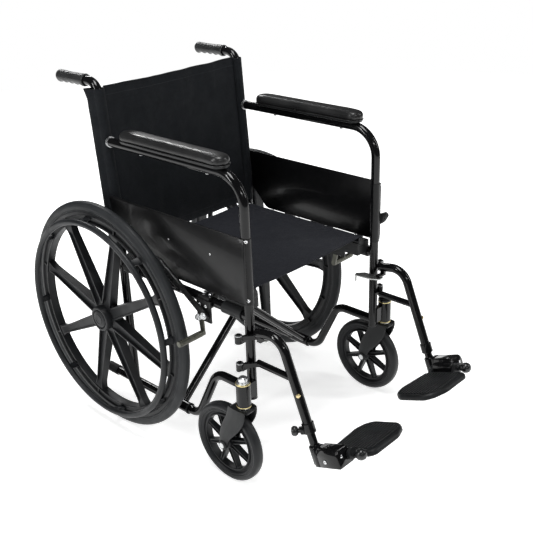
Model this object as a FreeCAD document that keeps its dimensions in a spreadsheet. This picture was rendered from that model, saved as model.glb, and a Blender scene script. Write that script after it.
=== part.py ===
"""Folding manual wheelchair: cross-brace frame, swing-away footrests, moulded spoked wheels.

Millimetres.  +Z is up and the chair faces -Y, so the occupant's right side is at -X.
The origin lies on the floor under the middle of the open chair.
"""
import FreeCAD, Part
import math
import os
import re
import Sketcher
from FreeCAD import Placement, Rotation, Vector

doc = FreeCAD.newDocument("manual_wheelchair")

# ---------------------------------------------------------------------------
# Driving dimensions
# ---------------------------------------------------------------------------
DIMENSIONS = {
    # frame tubes
    "side_x": 229.0,          # centre plane of each side frame
    "tube_r": 11.1,           # 7/8 inch frame tube
    "tube_wall": 1.6,
    "boss_r": 13.0,            # welded boss round the axle hole
    "post_y": -222.0,         # front post
    "post_bottom_z": 222.0,
    "cane_y": 224.0,          # upright part of the back cane
    "cane_lean_z": 560.0,     # the cane leans back above this height
    "cane_top_y": 248.0,
    "cane_bend": 220.0,
    "handle_z": 892.0,
    "handle_end_y": 396.0,
    "handle_bend": 36.0,
    "arm_z": 753.0,
    "arm_bend": 70.0,
    "upper_rail_z": 432.0,
    "lower_rail_z": 92.0,
    "lower_rail_end_y": 341.0,
    "front_rail_z": 241.0,
    "rail_bend_low_y": -30.0,
    "rail_bend_high_y": -104.0,
    "rail_bend": 45.0,
    "saddle_length": 60.0,
    "saddle_wall": 3.4,
    # cross-brace and seat
    "cross_y": 36.0,
    "seat_rail_x": 195.0,
    "seat_rail_z": 470.0,
    "seat_front_y": -205.0,
    "seat_back_y": 208.0,
    "arm_tube_r": 10.0,
    "twin_tube_r": 8.0,
    "twin_offset": 21.0,
    "hinge_sleeve_r": 14.0,
    "pin_play": 0.06,         # radial clearance of every running fit
    "gap": 0.3,               # clearance between pieces that move past each other
    "cross_bolt_r": 4.0,
    # rear wheels
    "axle_y": 236.0,
    "axle_z": 305.0,
    "wheel_x": 285.0,
    "wheel_r": 305.0,
    "tyre_half_w": 12.5,
    "tyre_seat_r": 281.0,
    "rim_inner_r": 252.0,
    "hub_r": 34.0,
    "hub_half_w": 22.0,
    "axle_bolt_r": 6.35,
    "handrim_x": 322.0,
    "handrim_r": 261.0,
    "handrim_tube_r": 8.0,
    # casters
    "barrel_x": 268.0,
    "barrel_y": -232.0,
    "barrel_low_z": 224.0,
    "barrel_high_z": 284.0,
    "barrel_r": 17.0,
    "stem_r": 8.0,
    "caster_trail": 55.0,
    "caster_r": 101.5,
    "caster_half_w": 14.0,
    "caster_seat_r": 86.0,
    "caster_rim_r": 71.0,
    "caster_hub_r": 16.0,
    "caster_axle_r": 4.0,
    "fork_gap": 18.0,         # inner half width of the fork
    "fork_wall": 5.0,
    # brakes
    "brake_y": -102.0,        # lever pivot
    "brake_z": 404.0,
    "shoe_y": -84.0,          # shoe pivot
    "shoe_z": 396.0,
    "shoe_drop": 43.0,
    "shoe_bar_r": 7.0,
    "shoe_bar_length": 78.0,
    "brake_pin_r": 4.0,
    "strap_thick": 4.0,
    "lever_length": 185.0,
    "brake_plate_x": 243.0,
    # swing-away footrest hangers
    "lug_x": 262.0,
    "lug_y": -219.0,
    "lug_high_z": 384.0,
    "lug_low_z": 314.0,
    "lug_pin_r": 5.0,
    "lug_eye_r": 9.0,
    "lug_eye_height": 12.0,
    "lug_thick": 6.0,
    "hanger_start_y": -244.0,
    "hanger_start_z": 398.0,
    "hanger_knee_y": -314.0,
    "hanger_knee_z": 412.0,
    "hanger_end_y": -396.0,
    "hanger_end_z": 205.0,
    "hanger_bend": 45.0,
    "hanger_bar_r": 8.0,
    "collar_wall": 3.0,
    "collar_length": 22.0,
    "latch_pin_r": 4.0,
    "slide_r": 9.42,          # telescopes inside the hanger tube
    "slide_wall": 1.5,
    "foot_axis_x": 212.0,     # footplate hinge pin
    "foot_axis_rise": -2.0,   # its height above the middle of the hinge block
    "foot_pin_r": 4.0,
    "foot_knob_r": 13.0,
    "block_length": 74.0,
    "block_height": 44.0,
    "block_outer_x": 252.0,
    "block_inner_x": 202.0,
    "plate_end_x": 50.0,
    "plate_root_x": 196.0,
    "plate_thick": 13.0,
    "right_foot_drop": 52.0,   # how far each slide is drawn out below the hanger's end
    "left_foot_drop": 36.0,
    # panels, pads and cloth
    "guard_low_z": 464.0,
    "guard_high_z": 620.0,
    "guard_sheet": 1.0,
    "pad_front_y": -178.0,
    "pad_back_y": 172.0,
    "pad_half_w": 25.0,
    "pad_height": 29.0,
    "grip_r": 15.5,
    "grip_length": 106.0,
    "cloth": 4.0,
    "back_low_z": 478.0,
    "back_high_z": 880.0,
}

sheet = doc.addObject("Spreadsheet::Sheet", "dims")
for row, (alias, value) in enumerate(DIMENSIONS.items(), start=1):
    sheet.set("A%d" % row, alias)
    sheet.set("B%d" % row, str(value))
    sheet.setAlias("B%d" % row, alias)
doc.recompute()

NAME = re.compile(r"[a-z][a-z_0-9]*")
SIDES = (("right", -1), ("left", 1))
NODES = []


def bound(text):
    """Turn 'side_x + tube_r' into an expression on the sheet."""
    return NAME.sub(lambda m: "dims." + m[0] if m[0] in DIMENSIONS else m[0], str(text))


def size(text):
    """The value that an expression on the sheet has now."""
    return float(sheet.evalExpression(str(text)))


def point(x, y, z):
    return Vector(size(x), size(y), size(z))


def node(obj, label):
    """Name a finished sub-part; the label names its file."""
    obj.Label = label
    NODES.append(obj)
    return obj


# ---------------------------------------------------------------------------
# PartDesign helpers
# ---------------------------------------------------------------------------
def new_body(name):
    return doc.addObject("PartDesign::Body", name)


def sketch_on(body, plane, offset="0"):
    """A sketch on one of the body's origin planes, moved along the plane's normal."""
    sketch = body.newObject("Sketcher::SketchObject", body.Name + "_sketch")
    origin_plane = [f for f in body.Origin.OriginFeatures if f.Role == plane][0]
    sketch.AttachmentSupport = (origin_plane, "")
    sketch.MapMode = "FlatFace"
    sketch.setExpression("AttachmentOffset.Base.z", bound(offset))
    return sketch


def place_at(sketch, geometry, which, u, v):
    """Fix a point of the sketch at (u, v), both expressions on the sheet."""
    for kind, text in (("DistanceX", u), ("DistanceY", v)):
        index = sketch.addConstraint(
            Sketcher.Constraint(kind, -1, 1, geometry, which, size(text)))
        sketch.setExpression("Constraints[%d]" % index, bound(text))


def add_polygon(sketch, corners):
    """A closed outline whose corners are bound to the sheet."""
    spots = [Vector(size(u), size(v), 0) for u, v in corners]
    first = sketch.GeometryCount
    for i, spot in enumerate(spots):
        sketch.addGeometry(Part.LineSegment(spot, spots[(i + 1) % len(spots)]))
    for i, (u, v) in enumerate(corners):
        following = first + (i + 1) % len(corners)
        sketch.addConstraint(Sketcher.Constraint("Coincident", first + i, 2, following, 1))
        place_at(sketch, first + i, 1, u, v)


def add_circle(sketch, u, v, radius):
    index = sketch.addGeometry(Part.Circle(Vector(size(u), size(v), 0), Vector(0, 0, 1), size(radius)))
    place_at(sketch, index, 3, u, v)
    constraint = sketch.addConstraint(Sketcher.Constraint("Radius", index, size(radius)))
    sketch.setExpression("Constraints[%d]" % constraint, bound(radius))


def pad(body, sketch, length, middle=False, backwards=False, kind="Pad"):
    feature = body.newObject("PartDesign::" + kind, body.Name + "_" + kind.lower())
    feature.Profile = sketch
    feature.setExpression("Length", bound(length))
    feature.Midplane = middle
    feature.Reversed = backwards
    sketch.Visibility = False
    return feature


def revolve(body, sketch, axis="H_Axis"):
    feature = body.newObject("PartDesign::Revolution", body.Name + "_turned")
    feature.Profile = sketch
    feature.ReferenceAxis = (sketch, [axis])
    feature.Angle = 360.0
    sketch.Visibility = False
    return feature


def turned(name, outlines, plane="XY_Plane", axis="H_Axis"):
    """A body of one or more outlines turned about a sketch axis."""
    body = new_body(name)
    for outline in outlines:
        sketch = sketch_on(body, plane)
        add_polygon(sketch, outline)
        revolve(body, sketch, axis)
    return body


def move_to(obj, x, y, z, rotation=None):
    """Place a finished object; its position follows the sheet."""
    if rotation:
        obj.Placement = Placement(Vector(), rotation)
    for axis, text in (("x", x), ("y", y), ("z", z)):
        obj.setExpression("Placement.Base." + axis, bound(text))
    return obj


# ---------------------------------------------------------------------------
# Part helpers
# ---------------------------------------------------------------------------
ALONG = {
    "x": Rotation(Vector(0, 1, 0), 90),
    "y": Rotation(Vector(1, 0, 0), -90),
    "z": Rotation(),
}


def cylinder(name, start, axis, radius, length):
    """A Part::Cylinder that starts at a point and runs along +X, +Y or +Z."""
    rod = doc.addObject("Part::Cylinder", name)
    rod.setExpression("Radius", bound(radius))
    rod.setExpression("Height", bound(length))
    return move_to(rod, *start, rotation=ALONG[axis])


def block(name, corner, lengths):
    box = doc.addObject("Part::Box", name)
    for prop, text in zip(("Length", "Width", "Height"), lengths):
        box.setExpression(prop, bound(text))
    return move_to(box, *corner)


def fused(name, pieces):
    joined = doc.addObject("Part::MultiFuse", name)
    joined.Shapes = pieces
    return joined


def cut(name, base, tools):
    """The base piece with every tool taken out of it."""
    for tool in tools:
        result = doc.addObject("Part::Cut", name)
        result.Base = base
        result.Tool = tool
        base = result
    return base


def bent_path(corners, bend):
    """Straight lines through the corners, with an arc of the bend radius at each."""
    edges = []
    last = corners[0]
    for i in range(1, len(corners) - 1):
        before = (corners[i - 1] - corners[i]).normalize()
        after = (corners[i + 1] - corners[i]).normalize()
        half = before.getAngle(after) / 2
        radius = bend[i - 1]
        trim = radius / math.tan(half)
        start = corners[i] + before * trim
        end = corners[i] + after * trim
        centre = corners[i] + (before + after).normalize() * (radius / math.sin(half))
        middle = centre + (corners[i] - centre).normalize() * radius
        edges.append(Part.LineSegment(last, start).toShape())
        edges.append(Part.Arc(start, middle, end).toShape())
        last = end
    edges.append(Part.LineSegment(last, corners[-1]).toShape())
    return Part.Wire(edges)


def swept(corners, bend, radius):
    """A round bar along a bent path."""
    path = bent_path(corners, bend)
    ring = Part.Wire(Part.makeCircle(radius, corners[0], corners[1] - corners[0]))
    return path.makePipeShell([ring], True, False)


def bent_tube(corners, bend, radius, wall):
    """A hollow tube; the bore runs through both open ends."""
    bore = swept(corners, bend, radius - wall)
    return swept(corners, bend, radius).cut(bore)


def shape_node(label, shape):
    """A finished Part::Feature, for the bent tubes that no sketch-based feature suits."""
    feature = doc.addObject("Part::Feature", label)
    feature.Shape = shape
    return node(feature, label)


# ---------------------------------------------------------------------------
# Side frames
# ---------------------------------------------------------------------------
def cane_corners(side):
    x = side * size("side_x")
    return [Vector(x, size("cane_y"), size("lower_rail_z")),
            Vector(x, size("cane_y"), size("cane_lean_z")),
            Vector(x, size("cane_top_y"), size("handle_z")),
            Vector(x, size("handle_end_y"), size("handle_z"))]


def post_corners(side):
    x = side * size("side_x")
    return [Vector(x, size("cane_y"), size("arm_z")),
            Vector(x, size("post_y"), size("arm_z")),
            Vector(x, size("post_y"), size("post_bottom_z"))]


def lower_corners(side):
    x = side * size("side_x")
    return [Vector(x, size("lower_rail_end_y"), size("lower_rail_z")),
            Vector(x, size("rail_bend_low_y"), size("lower_rail_z")),
            Vector(x, size("rail_bend_high_y"), size("front_rail_z")),
            Vector(x, size("post_y"), size("front_rail_z"))]


def frame_tubes(word, side):
    """The four welded tubes of a side frame, each coped where it meets another."""
    radius = size("tube_r")
    wall = size("tube_wall")
    x = side * size("side_x")
    cane_bends = [size("cane_bend"), size("handle_bend")]
    cane_bar = swept(cane_corners(side), cane_bends, radius)
    post_bends = [size("arm_bend")]
    post_bar = swept(post_corners(side), post_bends, radius)
    lower_bends = [size("rail_bend")] * 2
    lower_bar = swept(lower_corners(side), lower_bends, radius)
    axle_hole = Part.makeCylinder(size("axle_bolt_r"), 4 * radius,
                                  point(x - 2 * radius, "axle_y", "axle_z"), Vector(1, 0, 0))

    cane = bent_tube(cane_corners(side), cane_bends, radius, wall).cut(lower_bar).cut(axle_hole)
    boss = Part.makeCylinder(size("boss_r"), 2 * radius + 2,
                             point(x - radius - 1, "axle_y", "axle_z"), Vector(1, 0, 0))
    shape_node(word + "_back_cane", cane.fuse(boss.cut(axle_hole)))

    post = bent_tube(post_corners(side), post_bends, radius, wall).cut(cane_bar)
    shape_node(word + "_arm_and_front_post", post)

    lower = bent_tube(lower_corners(side), lower_bends, radius, wall).cut(post_bar)
    shape_node(word + "_lower_side_rail", lower)

    ends = [point(x, "cane_y", "upper_rail_z"), point(x, "post_y", "upper_rail_z")]
    upper = bent_tube(ends, [], radius, wall).cut(cane_bar).cut(post_bar)
    shape_node(word + "_upper_side_rail", upper)


def front_brackets(word, side):
    """Caster barrel with its gusset, and the two hinge lugs that carry the hanger."""
    name = word + "_barrel"
    post = cylinder(name + "_post", (side * size("side_x"), "post_y", "200"), "z", "tube_r", "240")
    barrel = cylinder(name + "_tube", ("%d * barrel_x" % side, "barrel_y", "barrel_low_z"), "z",
                      "barrel_r", "barrel_high_z - barrel_low_z")
    low_x = "side_x" if side > 0 else "-barrel_x"
    gusset = block(name + "_gusset", (low_x, "barrel_y - 5", "barrel_low_z + 10"),
                   ("barrel_x - side_x", "14", "barrel_high_z - barrel_low_z - 20"))
    pieces = [barrel, gusset]
    for level in ("lug_high_z", "lug_low_z"):
        tab_x = "side_x" if side > 0 else "-lug_x"
        foot = ("%d * lug_x" % side, "lug_y", level + " - lug_thick")
        pieces.append(block(name + "_tab", (tab_x, "lug_y - lug_eye_r", level + " - lug_thick"),
                            ("lug_x - side_x", "2 * lug_eye_r", "lug_thick")))
        pieces.append(cylinder(name + "_eye", foot, "z", "lug_eye_r", "lug_thick"))
        pieces.append(cylinder(name + "_pin", foot, "z", "lug_pin_r",
                               "lug_thick + lug_eye_height + 4"))
    bore = cylinder(name + "_bore", ("%d * barrel_x" % side, "barrel_y", "200"), "z",
                    "stem_r + pin_play", "120")
    body = cut(name + "_cut", fused(name + "_sum", pieces), [post, bore])
    node(body, word + "_caster_barrel_and_lugs")


def rail_saddles(word, side):
    """Moulded cradles clamped on the upper rail, which the seat rail rests in."""
    name = word + "_saddle"
    pieces = []
    for start in ("post_y + 16", "cane_y - 16 - saddle_length"):
        pieces.append(cylinder(name + "_sleeve", (side * size("side_x"), start, "upper_rail_z"),
                               "y", "tube_r + saddle_wall", "saddle_length"))
        low_x = "seat_rail_x - 13" if side > 0 else "-side_x + 2"
        pieces.append(block(name + "_cradle", (low_x, start, "upper_rail_z + 2"),
                            ("side_x - seat_rail_x + 11", "saddle_length",
                             "seat_rail_z - upper_rail_z - 6")))
    hollow_seat = cylinder(name + "_groove", ("%d * seat_rail_x" % side, "post_y", "seat_rail_z"),
                           "y", "tube_r + gap", "cane_y - post_y")
    hollow_rail = cylinder(name + "_bore", (side * size("side_x"), "post_y", "upper_rail_z"),
                           "y", "tube_r", "cane_y - post_y")
    body = cut(name + "_cut", fused(name + "_sum", pieces), [hollow_seat, hollow_rail])
    node(body, word + "_seat_rail_saddles")


def skirt_guard(word, side):
    """Pressed sheet on the outside of the frame, with a flange round the front post."""
    body = new_body(word + "_guard_body")
    sketch = sketch_on(body, "YZ_Plane")
    add_polygon(sketch, [("post_y - 4", "guard_low_z"), ("cane_y - 60", "guard_low_z"),
                         ("cane_y + 8", "guard_low_z + 68"), ("cane_y + 8", "guard_high_z"),
                         ("post_y - 4", "guard_high_z")])
    pad(body, sketch, "guard_sheet")
    flange = sketch_on(body, "XY_Plane", "guard_low_z")
    inwards = -side
    face = "0" if side > 0 else "guard_sheet"
    deep = "%s + %d * (guard_sheet + 8)" % (face, inwards)
    add_polygon(flange, [(face, "post_y - 13"), (face, "post_y - 4"),
                         ("%s + %d * guard_sheet" % (face, side), "post_y - 4"),
                         ("%s + %d * guard_sheet" % (face, side), "post_y - 14"),
                         (deep, "post_y - 14"), (deep, "post_y - 13")])
    pad(body, flange, "guard_high_z - guard_low_z")
    x = "side_x + tube_r + gap" if side > 0 else "-side_x - tube_r - gap - guard_sheet"
    move_to(body, x, "0", "0")
    node(body, word + "_skirt_guard")


def armrest_pad(word, side):
    """Padded rest on the arm tube, a rounded slab with a flat underside."""
    body = new_body(word + "_pad_body")
    sketch = sketch_on(body, "XY_Plane")
    add_polygon(sketch, [("-pad_half_w", "pad_front_y"), ("pad_half_w", "pad_front_y"),
                         ("pad_half_w", "pad_back_y"), ("-pad_half_w", "pad_back_y")])
    feature = pad(body, sketch, "pad_height")
    doc.recompute()
    rounding = body.newObject("PartDesign::Fillet", word + "_pad_corners")
    rounding.Base = (feature, upright_edges(feature.Shape))
    rounding.Radius = 22.0
    doc.recompute()
    crown = body.newObject("PartDesign::Fillet", word + "_pad_crown")
    crown.Base = (rounding, [top_face(rounding.Shape)])
    crown.Radius = 9.0
    move_to(body, side * size("side_x"), "0", "arm_z + tube_r")
    node(body, word + "_armrest_pad")


def upright_edges(shape):
    """Names of the straight edges that run along Z."""
    names = []
    for i, edge in enumerate(shape.Edges, start=1):
        span = edge.BoundBox
        if span.XLength < 1e-6 and span.YLength < 1e-6:
            names.append("Edge%d" % i)
    return names


def top_face(shape):
    """Name of the highest flat face."""
    heights = [(face.CenterOfMass.z, i) for i, face in enumerate(shape.Faces, start=1)]
    return "Face%d" % max(heights)[1]


def push_grip(word, side):
    """Closed vinyl sleeve over the end of the handle."""
    start = "handle_end_y - grip_length + 4"
    body = turned(word + "_grip_body", [[
        ("tube_r", "0"), ("grip_r - 2", "0"), ("grip_r", "2"), ("grip_r", "grip_length - 4"),
        ("grip_r - 4", "grip_length"), ("0", "grip_length"), ("0", "grip_length - 4"),
        ("tube_r", "grip_length - 4")]], axis="V_Axis")
    move_to(body, side * size("side_x"), start, "handle_z")
    node(body, word + "_push_grip")


# ---------------------------------------------------------------------------
# Wheels
# ---------------------------------------------------------------------------
SPOKES = 8
WHEEL_PHASE = {"right": 28.0, "left": 3.0}      # degrees from the top spoke towards the rear
CASTER_PHASE = 22.5


def spoked_wheel(label, centre, phase, sizes):
    """A moulded wheel with ribbed spokes, turning about X."""
    hub, half_hub, bore, inner, outer, half_rim, root, tip, thick = sizes
    body = turned(label + "_body", [[
        ("-(%s)" % half_hub, bore), (half_hub, bore), (half_hub, hub), ("-(%s)" % half_hub, hub)]])
    arm = sketch_on(body, "YZ_Plane")
    add_polygon(arm, [("-(%s)" % root, hub + " - 3"), (root, hub + " - 3"),
                      (tip, inner + " + 2"), ("-(%s)" % tip, inner + " + 2")])
    features = [pad(body, arm, thick, middle=True)]
    for face in (1, -1):
        recess = sketch_on(body, "YZ_Plane", "%d * (%s) / 2" % (face, thick))
        add_polygon(recess, [("-(%s) + 3.5" % root, hub + " + 5"), ("%s - 3.5" % root, hub + " + 5"),
                             ("%s - 3" % tip, inner + " - 4"), ("-(%s) + 3" % tip, inner + " - 4")])
        features.append(pad(body, recess, thick + " / 4", backwards=face < 0, kind="Pocket"))
    spokes = body.newObject("PartDesign::PolarPattern", label + "_spokes")
    spokes.Originals = features
    spokes.Axis = (arm, ["N_Axis"])
    spokes.Angle = 360.0
    spokes.Occurrences = SPOKES
    body.Tip = spokes
    rim = sketch_on(body, "XY_Plane")
    add_polygon(rim, [("-(%s) + 3" % half_rim, inner), ("%s - 3" % half_rim, inner),
                      (half_rim, inner + " + 5"), (half_rim, outer), ("-(%s)" % half_rim, outer),
                      ("-(%s)" % half_rim, inner + " + 5")])
    revolve(body, rim)
    move_to(body, *centre, rotation=Rotation(Vector(1, 0, 0), -phase))
    return node(body, label)


def solid_tyre(label, centre, seat, outer, half):
    """A solid tyre with a rounded tread and a flat seat on the rim."""
    body = turned(label + "_body", [[
        ("-(%s) + 1" % half, seat), ("%s - 1" % half, seat),
        (half, seat + " + 3"), (half, "%s - 0.62 * (%s)" % (outer, half)),
        ("0.8 * (%s)" % half, "%s - 0.25 * (%s)" % (outer, half)),
        ("0.4 * (%s)" % half, "%s - 0.05 * (%s)" % (outer, half)),
        ("0", outer),
        ("-0.4 * (%s)" % half, "%s - 0.05 * (%s)" % (outer, half)),
        ("-0.8 * (%s)" % half, "%s - 0.25 * (%s)" % (outer, half)),
        ("-(%s)" % half, "%s - 0.62 * (%s)" % (outer, half)),
        ("-(%s)" % half, seat + " + 3")]])
    move_to(body, *centre)
    return node(body, label)


def rear_wheel(word, side):
    centre = ("%d * wheel_x" % side, "axle_y", "axle_z")
    spoked_wheel(word + "_rear_wheel", centre, WHEEL_PHASE[word],
                 ("hub_r", "hub_half_w", "axle_bolt_r + pin_play", "rim_inner_r", "tyre_seat_r",
                  "tyre_half_w - 0.5", "18", "11", "18"))
    solid_tyre(word + "_rear_tyre", centre, "tyre_seat_r", "wheel_r", "tyre_half_w")
    handrim(word, side)
    # the axle bolt runs from the frame boss to a nut under the hub cap
    axle = turned(word + "_axle_body", [[
        ("side_x - tube_r - 9", "0"), ("wheel_x + hub_half_w + 7", "0"),
        ("wheel_x + hub_half_w + 7", "16"), ("wheel_x + hub_half_w + gap", "16"),
        ("wheel_x + hub_half_w + gap", "axle_bolt_r"), ("side_x - tube_r - 1", "axle_bolt_r"),
        ("side_x - tube_r - 1", "11"), ("side_x - tube_r - 9", "11")]])
    turn = Rotation(Vector(0, 0, 1), 0 if side > 0 else 180)
    move_to(axle, "0", "axle_y", "axle_z", turn)
    node(axle, word + "_rear_axle")


def handrim(word, side):
    """Hoop outside the wheel, held by moulded tabs midway between the spokes."""
    centre = ("%d * handrim_x" % side, "axle_y", "axle_z")
    hoop = doc.addObject("Part::Torus", word + "_hoop")
    hoop.setExpression("Radius1", bound("handrim_r"))
    hoop.setExpression("Radius2", bound("handrim_tube_r"))
    move_to(hoop, *centre, rotation=ALONG["x"])
    pieces = [hoop]
    reach = size("handrim_x - wheel_x - tyre_half_w + 0.5")
    pitch = 360.0 / SPOKES
    for i in range(SPOKES):
        angle = pitch * (i + 0.5) - WHEEL_PHASE[word]
        tab = doc.addObject("Part::Box", word + "_tab")
        tab.Length = reach - 4
        tab.Width = 16
        tab.Height = 9
        away = Vector(0, -8, size("handrim_r") - 4.5)
        spin = Rotation(Vector(1, 0, 0), angle)
        start = size("wheel_x + tyre_half_w - 0.5") if side > 0 else -size("handrim_x") + 4
        tab.Placement = Placement(point(start, "axle_y", "axle_z") + spin.multVec(away), spin)
        pieces.append(tab)
    node(fused(word + "_handrim_sum", pieces), word + "_handrim")


def caster(word, side):
    """Fork, stem, spoked wheel, tyre and axle of a trailing caster."""
    x = "%d * barrel_x" % side
    centre = (x, "barrel_y + caster_trail", "caster_r")
    spoked_wheel(word + "_caster_wheel", centre, CASTER_PHASE,
                 ("caster_hub_r", "fork_gap - 1", "caster_axle_r + pin_play", "caster_rim_r",
                  "caster_seat_r", "caster_half_w - 0.5", "6", "4.5", "14"))
    solid_tyre(word + "_caster_tyre", centre, "caster_seat_r", "caster_r", "caster_half_w")

    body = new_body(word + "_fork_body")
    crown = sketch_on(body, "YZ_Plane")
    add_polygon(crown, [("-20", "barrel_low_z - 17"), ("34", "barrel_low_z - 17"),
                        ("30", "barrel_low_z - 4.5"), ("-20", "barrel_low_z - 4.5")])
    pad(body, crown, "2 * (fork_gap + fork_wall)", middle=True)
    for face in (1, -1):
        leg = sketch_on(body, "YZ_Plane", "%d * (fork_gap + fork_wall / 2)" % face)
        add_polygon(leg, [("-20", "barrel_low_z - 4.5"), ("-22", "barrel_low_z - 22"),
                          ("-8", "barrel_low_z - 62"), ("caster_trail - 13", "caster_r - 2"),
                          ("caster_trail - 9", "caster_r - 11"), ("caster_trail", "caster_r - 14"),
                          ("caster_trail + 9", "caster_r - 11"), ("caster_trail + 13", "caster_r"),
                          ("caster_trail + 12", "caster_r + 22"), ("36", "barrel_low_z - 30"),
                          ("30", "barrel_low_z - 4.5")])
        pad(body, leg, "fork_wall", middle=True)
    drill = sketch_on(body, "YZ_Plane")
    add_circle(drill, "caster_trail", "caster_r", "caster_axle_r")
    pad(body, drill, "4 * fork_gap", middle=True, kind="Pocket")
    stem_hole = sketch_on(body, "XY_Plane", "barrel_low_z")
    add_circle(stem_hole, "0", "0", "stem_r")
    pad(body, stem_hole, "30", kind="Pocket")
    move_to(body, x, "barrel_y", "0")
    node(body, word + "_caster_fork")

    stem = turned(word + "_stem_body", [[
        ("0", "barrel_low_z - 17"), ("stem_r", "barrel_low_z - 17"),
        ("stem_r", "barrel_low_z - 4.5"), ("15", "barrel_low_z - 4.5"),
        ("15", "barrel_low_z - gap"), ("stem_r", "barrel_low_z - gap"),
        ("stem_r", "barrel_high_z + gap"), ("15", "barrel_high_z + gap"),
        ("15", "barrel_high_z + 3"), ("11", "barrel_high_z + 3.5"), ("11", "barrel_high_z + 12"),
        ("7", "barrel_high_z + 15"), ("0", "barrel_high_z + 15")]], plane="XZ_Plane", axis="V_Axis")
    move_to(stem, x, "barrel_y", "0")
    node(stem, word + "_caster_stem")

    tip = "fork_gap + fork_wall"
    axle = turned(word + "_caster_axle_body", [[
        ("-(%s) - 5" % tip, "0"), ("%s + 5" % tip, "0"), ("%s + 5" % tip, "7"), (tip, "7"),
        (tip, "caster_axle_r"), ("-(%s)" % tip, "caster_axle_r"), ("-(%s)" % tip, "7"),
        ("-(%s) - 5" % tip, "7")]])
    move_to(axle, *centre)
    node(axle, word + "_caster_axle")


# ---------------------------------------------------------------------------
# Wheel-lock brakes
# ---------------------------------------------------------------------------
LEVER_REST = {"right": 32.0, "left": 137.0}     # degrees above the rearward horizontal
SHOE_REST = {"right": -95.0, "left": -76.0}


def brake(word, side):
    """Clamp and plate on the upper rail, a hand lever, and the shoe bar it drives."""
    name = word + "_brake"
    outwards = Rotation() if side > 0 else Rotation(Vector(0, 0, 1), 180)
    rail = cylinder(name + "_rail", (side * size("side_x"), "brake_y - 40", "upper_rail_z"), "y",
                    "tube_r", "100")
    low_x = "side_x - tube_r - 3" if side > 0 else "-brake_plate_x - 1"
    clamp = block(name + "_clamp", (low_x, "brake_y - 6", "upper_rail_z - tube_r - 3"),
                  ("brake_plate_x + 1 - side_x + tube_r + 3", "36", "2 * tube_r + 6"))
    near_x = "brake_plate_x" if side > 0 else "-brake_plate_x - strap_thick"
    plate = block(name + "_plate", (near_x, "brake_y - 13", "shoe_z - 12"),
                  ("strap_thick", "46", "upper_rail_z - shoe_z + 18"))
    pin_x = "brake_plate_x" if side > 0 else "-brake_plate_x - 16"
    pins = [cylinder(name + "_lever_pin", (pin_x, "brake_y", "brake_z"), "x", "brake_pin_r", "16"),
            cylinder(name + "_shoe_pin", (pin_x, "shoe_y", "shoe_z"), "x", "brake_pin_r", "16")]
    body = cut(name + "_cut", fused(name + "_sum", [clamp, plate] + pins), [rail])
    node(body, word + "_brake_bracket")

    # the lever is modelled lying along its own Y and then turned to its rest angle
    lever = new_body(word + "_lever_body")
    strap = sketch_on(lever, "YZ_Plane", "brake_plate_x + 8.4")
    add_polygon(strap, [("-11", "-7"), ("6", "-9"), ("lever_length - 90", "-6"),
                        ("lever_length - 90", "6"), ("6", "9"), ("-11", "7")])
    add_circle(strap, "0", "0", "brake_pin_r + pin_play")
    pad(lever, strap, "strap_thick")
    handle = sketch_on(lever, "YZ_Plane", "brake_plate_x + 5.4")
    add_polygon(handle, [("lever_length - 100", "-8"), ("lever_length - 6", "-8.5"),
                         ("lever_length", "-4"), ("lever_length", "4"), ("lever_length - 6", "8.5"),
                         ("lever_length - 100", "8")])
    pad(lever, handle, "12")
    angle = LEVER_REST[word]
    if side < 0:
        angle = 180.0 - angle
    lean = Rotation(Vector(1, 0, 0), angle)
    move_to(lever, "0", "brake_y", "brake_z", outwards.multiply(lean))
    node(lever, word + "_brake_lever")

    shoe = new_body(word + "_shoe_body")
    strap = sketch_on(shoe, "YZ_Plane", "brake_plate_x + 4.2")
    add_polygon(strap, [("-8", "-8"), ("shoe_drop", "-6"), ("shoe_drop", "6"), ("-8", "8")])
    add_circle(strap, "0", "0", "brake_pin_r + pin_play")
    pad(shoe, strap, "strap_thick")
    bar = sketch_on(shoe, "YZ_Plane", "brake_plate_x + 4.2")
    add_circle(bar, "shoe_drop", "0", "shoe_bar_r")
    pad(shoe, bar, "shoe_bar_length")
    angle = SHOE_REST[word]
    if side < 0:
        angle = 180.0 - angle
    hang = Rotation(Vector(1, 0, 0), angle)
    move_to(shoe, "0", "shoe_y", "shoe_z", outwards.multiply(hang))
    node(shoe, word + "_brake_shoe")


# ---------------------------------------------------------------------------
# Footrests
# ---------------------------------------------------------------------------
def slide_direction():
    """Unit vector down the hanger's straight leg."""
    knee = point(0, "hanger_knee_y", "hanger_knee_z")
    end = point(0, "hanger_end_y", "hanger_end_z")
    return (end - knee).normalize()


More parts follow.
